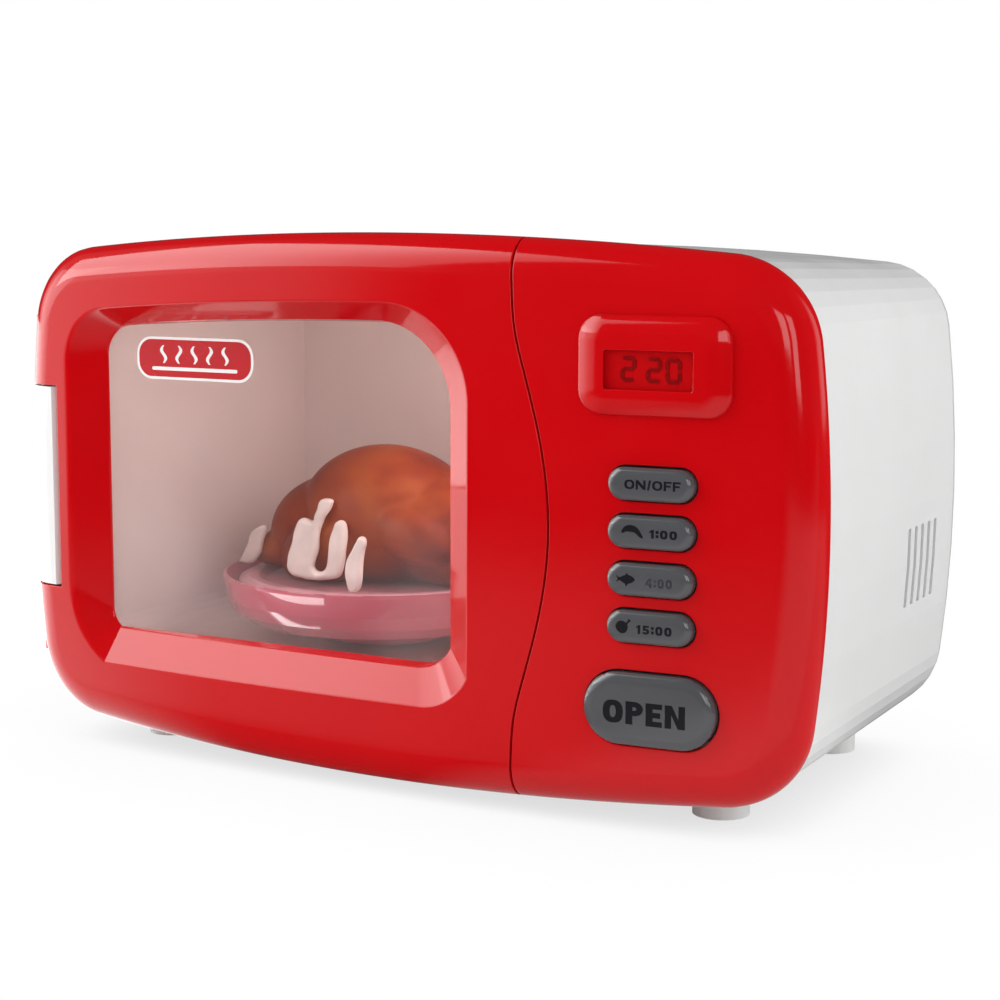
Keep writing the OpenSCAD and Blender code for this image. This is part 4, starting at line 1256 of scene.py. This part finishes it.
def blob(name, balls, voxel, body, material, replaces=(), smooth=6, floor=None):
    """Soft moulded shape: ellipsoids joined into one skin."""
    import bmesh
    bm = bmesh.new()
    for (c, r, rot) in balls:
        res = bmesh.ops.create_icosphere(bm, subdivisions=4, radius=1.0)
        ca, sa = math.cos(math.radians(rot)), math.sin(math.radians(rot))
        for v in res["verts"]:
            x, y, z = v.co.x * r[0], v.co.y * r[1], v.co.z * r[2]
            x, z = x * ca - z * sa, x * sa + z * ca
            v.co = Vector(metres((c[0] + x, c[1] + y, c[2] + z)))
    me = bpy.data.meshes.new(name)
    bm.to_mesh(me)
    bm.free()
    o = bpy.data.objects.new(name, me)
    bpy.context.scene.collection.objects.link(o)
    md = o.modifiers.new("skin", "REMESH")
    md.mode = "VOXEL"
    md.voxel_size = voxel / 1000.0
    md.use_smooth_shade = True
    sm = o.modifiers.new("soft", "SMOOTH")
    sm.factor = 0.6
    sm.iterations = smooth
    bpy.context.view_layer.update()
    dg = bpy.context.evaluated_depsgraph_get()
    new = bpy.data.meshes.new_from_object(o.evaluated_get(dg))
    o.modifiers.clear()
    o.data = new
    new.name = name
    if floor is not None:
        co = np.array([v.co for v in new.vertices])
        co[:, 2] = np.maximum(co[:, 2], (floor + LIFT[2]) / 1000.0)
        new.vertices.foreach_set("co", co.astype(np.float32).ravel())
        new.update()
    new.polygons.foreach_set("use_smooth", np.ones(len(new.polygons), bool))
    new.materials.clear()
    new.materials.append(material)
    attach(o, body)
    if replaces:
        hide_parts(*replaces)
    return o


def roast_material():
    m = principled("roast_skin", (0.55, 0.17, 0.035), 0.5, spec=0.28)
    b = m.node_tree.nodes["Principled BSDF"]
    co = coords(m)
    n = noise_tex(m, 38.0, 3.0, 0.55, co)
    col = ramp(m, n.outputs["Fac"], [(0.32, (0.145, 0.008, 0.002)), (0.44, (0.245, 0.026, 0.004)), (0.58, (0.32, 0.046, 0.006)), (0.74, (0.39, 0.082, 0.012))])
    wire(m, col, b.inputs["Base Color"])
    g = noise_tex(m, 500.0, 3.0, 0.6, co)
    wire(m, bump(m, g.outputs["Fac"], 0.25, 0.0004), b.inputs["Normal"])
    return m


M["roast_skin"] = roast_material()
chicken = blob("roast_chicken_body", [
    ((-44, 84, -14), (34, 27, 25.5), -4),
    ((-66, 84, -20), (27, 22, 20), 10),
    ((-18, 84, -18), (25, 23, 20), -4),
    ((-57, 66, -25), (22, 12, 12.5), 20),
    ((-57, 102, -25), (22, 12, 12.5), 20),
    ((-80, 72, -28), (13, 6.5, 6.5), 12),
    ((-80, 96, -28), (13, 6.5, 6.5), 12),
    ((-91, 74, -29), (5.5, 5.5, 6), 0),
    ((-91, 94, -29), (5.5, 5.5, 6), 0),
    ((-20, 62, -18), (16, 7, 9), -20),
    ((-20, 106, -18), (16, 7, 9), -20),
], 1.25, "food", M["roast_skin"], ["roast_chicken"], floor=-36.9)


# Pale pieces in front of the roast: their near-white colour is partly a pale food colour and partly a painted
# highlight, standing where white glints show on the food.
def pale_food_highlight_material():
    m = principled("garnish_pale", (0.88, 0.72, 0.67), 0.35)
    finish_surface(m, (0.88, 0.72, 0.67), vary=0.10, scale=120.0, rough=0.35, rough_vary=0.05, peel=0.2, peel_scale=300.0)
    return m


M["garnish_pale"] = pale_food_highlight_material()
m = principled("garnish_bed", (0.58, 0.24, 0.28), 0.35)
finish_surface(m, (0.58, 0.24, 0.28), vary=0.2, scale=70.0, rough=0.35, rough_vary=0.08, peel=0.4, peel_scale=180.0)
M["garnish_bed"] = m
dress("garnish_bed", "garnish")
smooth_cad(NODES["garnish"])


def pillow(name, outline, y_low, y_top, thick, ew):
    """A pale petal-like piece: a soft plate that stands in the bed and leans back on the roast."""
    L = spline(outline, 7)
    z0, z1 = L[:, 1].min(), L[:, 1].max()
    cen = lambda z: y_low + (y_top - y_low) * (z - z0) / (z1 - z0)
    if area(L) < 0:
        L = L[::-1]
    rings = []
    n = loop_normals(L)
    for d in (0.12, 0.35, 0.7, 1.15):
        rings.append(L - n * d)
    P, F = sheet(L, [], np.concatenate(rings + [grid(L[:, 0].min(), L[:, 0].max(), z0, z1, 0.8)]), 0.1)
    P0, P1 = L, np.roll(L, -1, 0)
    best = np.full(len(P), 1e9)
    out_dir = np.zeros((len(P), 2))
    for a_, b_ in zip(P0, P1):
        ab = b_ - a_
        t = np.clip(((P - a_) @ ab) / max(ab @ ab, 1e-12), 0, 1)
        q = a_ + t[:, None] * ab
        dist = np.linalg.norm(P - q, axis=1)
        m = dist < best
        best[m] = dist[m]
        out_dir[m] = np.where(dist[m][:, None] > 1e-6, (q - P)[m] / np.maximum(dist[m][:, None], 1e-9), np.array([ab[1], -ab[0]]) / np.linalg.norm(ab))
    u = np.clip((ew - best) / ew, 0, 1)
    s_ = np.sqrt(np.maximum(1 - u * u, 0))
    edge = best < 1e-6
    s_[edge] = 0
    half = thick / 2
    c = cen(P[:, 1])
    wav = 0.25 * np.sin(P[:, 0] * 1.3 + P[:, 1] * 0.7)
    bd = Build()
    for sign in (-1, 1):
        V = xyz(P, c + sign * half * s_ + wav)
        N = unit(np.stack([out_dir[:, 0] * u * half / ew, sign * np.maximum(s_, 0.02), out_dir[:, 1] * u * half / ew], 1))
        bd.add(V, N, F)
    return bd.make(name, "food", M["garnish_pale"], "garnish_pale")


pillow("petal_left", [(-92.3, -20.3), (-90.5, -19.5), (-88.7, -19.8), (-88.7, -22.2), (-89.3, -25.4), (-89.7, -28.9),
                      (-90.9, -31.7), (-93.6, -33.5), (-97.1, -33.6), (-98.5, -32.9), (-97.2, -30.4), (-96.1, -27.0),
                      (-95.4, -23.9), (-94.4, -21.6)], 66.0, 70.0, 3.0, 1.4)
pillow("petal_middle", [(-55.4, -6.2), (-53.1, -5.7), (-50.8, -6.1), (-50.8, -8.0), (-52.1, -10.8), (-53.7, -14.1), (-54.0, -18.1),
                        (-53.6, -23.1), (-53.9, -27.1), (-53.9, -29.3), (-51.2, -30.6), (-49.3, -29.9), (-48.4, -28.3),
                        (-48.9, -24.2), (-49.0, -20.2), (-48.8, -17.2), (-48.3, -14.7), (-47.5, -13.4), (-46.0, -12.7),
                        (-44.3, -13.5), (-43.1, -15.8), (-42.3, -19.2), (-41.9, -23.7), (-41.9, -27.4), (-42.1, -30.7),
                        (-43.4, -32.1), (-46.7, -32.9), (-52.5, -33.6), (-58.5, -33.3), (-63.0, -32.4), (-65.1, -30.4),
                        (-65.5, -28.0), (-65.2, -24.3), (-64.8, -20.7), (-64.4, -17.0), (-63.8, -14.1), (-61.6, -12.9),
                        (-58.9, -13.5), (-57.2, -13.6), (-57.1, -11.5), (-56.6, -9.4), (-56.3, -7.8)], 48.5, 57.5, 3.6, 1.7)
pillow("petal_right", [(-33.7, -17.0), (-32.2, -16.5), (-30.7, -17.2), (-30.1, -19.2), (-30.5, -21.2), (-30.1, -24.7),
                       (-29.3, -29.0), (-29.3, -32.9), (-30.3, -34.8), (-33.0, -35.0), (-34.8, -32.6), (-36.4, -29.1),
                       (-36.5, -25.4), (-35.9, -22.6), (-35.0, -20.5), (-34.2, -18.7)], 41.0, 48.0, 3.0, 1.4)

# ------------------------------------------------------------------ stage
world = bpy.data.worlds.new("studio")
bpy.context.scene.world = world
world.use_nodes = True
wt = world.node_tree
wt.nodes.clear()
out = wt.nodes.new("ShaderNodeOutputWorld")
lp = wt.nodes.new("ShaderNodeLightPath")
cam_bg = wt.nodes.new("ShaderNodeBackground")
cam_bg.inputs["Color"].default_value = (1, 1, 1, 1)
cam_bg.inputs["Strength"].default_value = 1.0
dif_bg = wt.nodes.new("ShaderNodeBackground")
dif_bg.inputs["Color"].default_value = (1, 1, 1, 1)
dif_bg.inputs["Strength"].default_value = 0.55
glo_bg = wt.nodes.new("ShaderNodeBackground")
tc = wt.nodes.new("ShaderNodeTexCoord")
sx = wt.nodes.new("ShaderNodeSeparateXYZ")
wt.links.new(tc.outputs["Generated"], sx.inputs[0])


def span(tree, value, a, b, lo, hi):
    n = tree.nodes.new("ShaderNodeMapRange")
    n.interpolation_type = "SMOOTHSTEP"
    n.inputs["From Min"].default_value = a
    n.inputs["From Max"].default_value = b
    n.inputs["To Min"].default_value = lo
    n.inputs["To Max"].default_value = hi
    tree.links.new(value, n.inputs["Value"])
    return n.outputs["Result"]


def calc(tree, op, x, y):
    n = tree.nodes.new("ShaderNodeMath")
    n.operation = op
    for i, v in enumerate((x, y)):
        if isinstance(v, (int, float)):
            n.inputs[i].default_value = v
        else:
            tree.links.new(v, n.inputs[i])
    return n.outputs[0]


left_part = span(wt, sx.outputs["X"], -0.88, -0.42, 1.9, 0.0)
front_part = span(wt, sx.outputs["Y"], -0.05, 0.25, 1.0, 0.0)
low_part = span(wt, sx.outputs["Z"], 0.05, 0.45, 1.0, 0.15)
right_part = calc(wt, "MULTIPLY", span(wt, sx.outputs["X"], 0.58, 0.76, 0.0, 1.0), span(wt, sx.outputs["Y"], 0.22, 0.5, 0.0, 1.5))
glow = calc(wt, "ADD", calc(wt, "MULTIPLY", calc(wt, "MULTIPLY", left_part, front_part), low_part), right_part)
glo_bg.inputs["Color"].default_value = (1, 1, 1, 1)
wt.links.new(calc(wt, "ADD", glow, 0.05), glo_bg.inputs["Strength"])
mix1 = wt.nodes.new("ShaderNodeMixShader")
mix2 = wt.nodes.new("ShaderNodeMixShader")
wt.links.new(lp.outputs["Is Glossy Ray"], mix1.inputs["Fac"])
wt.links.new(dif_bg.outputs[0], mix1.inputs[1])
wt.links.new(glo_bg.outputs[0], mix1.inputs[2])
wt.links.new(lp.outputs["Is Camera Ray"], mix2.inputs["Fac"])
wt.links.new(mix1.outputs[0], mix2.inputs[1])
wt.links.new(cam_bg.outputs[0], mix2.inputs[2])
wt.links.new(mix2.outputs[0], out.inputs["Surface"])

floor_mesh = bpy.data.meshes.new("floor")
s = 9.0
floor_mesh.from_pydata([(-s, -s, 0), (s, -s, 0), (s, s, 0), (-s, s, 0)], [], [(0, 1, 2, 3)])
floor = bpy.data.objects.new("floor", floor_mesh)
bpy.context.scene.collection.objects.link(floor)
fm = bpy.data.materials.new("floor_paper")
fm.use_nodes = True
fb = fm.node_tree.nodes["Principled BSDF"]
fb.inputs["Base Color"].default_value = (0.86, 0.86, 0.86, 1)
fb.inputs["Roughness"].default_value = 0.9
fb.inputs["Specular IOR Level"].default_value = 0.1
# Camera rays see the floor as white emission, darkened by ambient occlusion near the object: a painted contact shadow.
em = node(fm, "ShaderNodeEmission")
ao = node(fm, "ShaderNodeAmbientOcclusion")
ao.samples = 8
ao.inputs["Distance"].default_value = 0.11
shade = ramp(fm, ao.outputs["AO"], [(0.0, (0.70, 0.70, 0.70)), (0.5, (0.96, 0.96, 0.96)), (0.85, (1.0, 1.0, 1.0))])
wire(fm, shade, em.inputs["Color"])
fl = node(fm, "ShaderNodeLightPath")
fmix = node(fm, "ShaderNodeMixShader")
wire(fm, fl.outputs["Is Camera Ray"], fmix.inputs["Fac"])
ft = fm.node_tree
fpos = node(fm, "ShaderNodeSeparateXYZ")
wire(fm, coords(fm), fpos.inputs[0])
fx, fy = fpos.outputs["X"], fpos.outputs["Y"]
side_angle = calc(ft, "ARCTAN2", calc(ft, "MULTIPLY", fx, -1.0), calc(ft, "MULTIPLY", fy, -1.0))
far_left = span(ft, side_angle, math.radians(38), math.radians(80), 0.0, 2.4)
ahead = span(ft, side_angle, math.radians(100), math.radians(135), 1.0, 0.0)
near_front = span(ft, fy, -0.75, -0.12, 0.02, 1.0)
near_left = calc(ft, "MULTIPLY", span(ft, fx, -0.16, 0.10, 0.48, 0.20), span(ft, fy, -0.142, -0.122, 1.0, 0.3))
upper_left = calc(ft, "MULTIPLY", span(ft, fx, -0.85, -0.35, 0.75, 0.0), span(ft, side_angle, math.radians(29), math.radians(39), 0.04, 1.0))
reach = calc(ft, "SQRT", calc(ft, "ADD", calc(ft, "MULTIPLY", fx, fx), calc(ft, "MULTIPLY", fy, fy)), 0.0)
right_low = calc(ft, "MULTIPLY", span(ft, side_angle, math.radians(-30), math.radians(-8), 0.42, 0.0), span(ft, reach, 0.75, 1.15, 1.0, 0.0))
right_low = calc(ft, "MULTIPLY", right_low, span(ft, side_angle, math.radians(-125), math.radians(-95), 0.0, 1.0))
patch = calc(ft, "ADD", calc(ft, "MULTIPLY", calc(ft, "ADD", far_left, upper_left), ahead), calc(ft, "MULTIPLY", near_front, near_left))
patch = calc(ft, "ADD", patch, right_low)
gem = node(fm, "ShaderNodeEmission")
wire(fm, patch, gem.inputs["Strength"])
gmix = node(fm, "ShaderNodeMixShader")
wire(fm, fl.outputs["Is Glossy Ray"], gmix.inputs["Fac"])
wire(fm, fb.outputs[0], gmix.inputs[1])
wire(fm, gem.outputs[0], gmix.inputs[2])
wire(fm, gmix.outputs[0], fmix.inputs[1])
wire(fm, em.outputs[0], fmix.inputs[2])
wire(fm, fmix.outputs[0], fm.node_tree.nodes["Material Output"].inputs["Surface"])
floor_mesh.materials.append(fm)


def softbox(name, place, aim, w, h, radiance, spread=180.0):
    l = bpy.data.lights.new(name, "AREA")
    l.shape = "RECTANGLE"
    l.size, l.size_y = w, h
    l.energy = radiance * w * h * math.pi
    l.spread = math.radians(spread)
    o = bpy.data.objects.new(name, l)
    o.location = place
    o.rotation_euler = (Vector(aim) - Vector(place)).to_track_quat("-Z", "Y").to_euler()
    bpy.context.scene.collection.objects.link(o)
    o.visible_camera = False
    return o


def polar(az, el, dist, centre=(0.0, -0.07, 0.10)):
    """Place at an azimuth left (-) or right (+) of the front and an elevation."""
    a, e = math.radians(az), math.radians(el)
    return (centre[0] + dist * math.sin(a) * math.cos(e), centre[1] - dist * math.cos(a) * math.cos(e), centre[2] + dist * math.sin(e))


AIM = (0.0, -0.05, 0.10)
key = softbox("key_left_front", polar(-51, 32.5, 1.3), AIM, 1.0, 1.04, 4.2)
key.data.use_nodes = True
kt = key.data.node_tree
kg = kt.nodes.new("ShaderNodeNewGeometry")
kx = kt.nodes.new("ShaderNodeSeparateXYZ")
kt.links.new(kg.outputs["Parametric"], kx.inputs[0])
kt.links.new(span(kt, kx.outputs["X"], 0.45, 1.0, 1.0, 0.30), kt.nodes["Emission"].inputs["Strength"])
low = softbox("low_left", polar(-72, 12, 1.0), AIM, 0.5, 0.36, 1.2)
strip = softbox("strip_right", polar(48, 13, 1.0), AIM, 0.17, 0.40, 2.9)
spot = softbox("corner_right", polar(32, 13, 1.0), AIM, 0.20, 0.34, 3.0)
fill = softbox("fill_right", polar(108, 24, 1.2), AIM, 1.3, 1.1, 1.75)
fill.visible_glossy = False

bulb = bpy.data.lights.new("oven_glow", "POINT")
bulb.energy = 0.148
bulb.shadow_soft_size = 0.02
bulb_o = bpy.data.objects.new("oven_glow", bulb)
bulb_o.location = metres((24, 60, 52))
bpy.context.scene.collection.objects.link(bulb_o)
bulb_o.visible_glossy = False


def inner_glint(name, place, normal, w, h, radiance, seen_on):
    """Light that only shows in reflections inside the oven."""
    at = metres(place)
    o = softbox(name, tuple(at), tuple(at + np.array(normal, float)), w / 1000.0, h / 1000.0, radiance)
    o.visible_diffuse = False
    on = bpy.data.collections.new(name + "_on")
    on.objects.link(seen_on)
    o.light_linking.receiver_collection = on
    return o


inner_glint("glint_left", (-123.0, 44.0, 6.0), (1, 0, 0), 36, 32, 1.9, door)
inner_glint("glint_left_low", (-123.0, 44.0, -41.0), (1, 0, 0), 36, 60, 0.85, door)
inner_glint("glint_dish_high", (-62.5, 17.2, -41.0), (0, 1, 0.1), 52, 3.0, 8.0, NODES["turntable_dish"])
inner_glint("glint_dish_low", (-74.0, 20.0, -59.4), (0, 0.3, 1), 62, 11.0, 8.0, NODES["turntable_dish"])

# ------------------------------------------------------------------ camera
cam_data = bpy.data.cameras.new("photo_view")
cam_data.sensor_fit = "AUTO"
cam_data.sensor_width = 36.0
cam_data.lens = 2099.3 * 36.0 / 1000.0
cam_data.clip_start = 0.01
cam_data.clip_end = 60.0
cam = bpy.data.objects.new("photo_view", cam_data)
bpy.context.scene.collection.objects.link(cam)
yaw, pitch, roll = math.radians(29.617), math.radians(7.623), math.radians(0.102)
f = Vector((-math.sin(yaw) * math.cos(pitch), math.cos(yaw) * math.cos(pitch), -math.sin(pitch)))
r = Vector((math.cos(yaw), math.sin(yaw), 0.0))
u = r.cross(f)
r2 = r * math.cos(roll) + u * math.sin(roll)
u2 = -r * math.sin(roll) + u * math.cos(roll)
from mathutils import Matrix
rot = Matrix((r2, u2, -f)).transposed()
cam.matrix_world = Matrix.Translation(Vector(metres((363.8, -552.6, 92.4)).tolist())) @ rot.to_4x4()
bpy.context.scene.camera = cam
bpy.context.scene.view_settings.view_transform = "Standard"
bpy.context.scene.view_settings.look = "None"

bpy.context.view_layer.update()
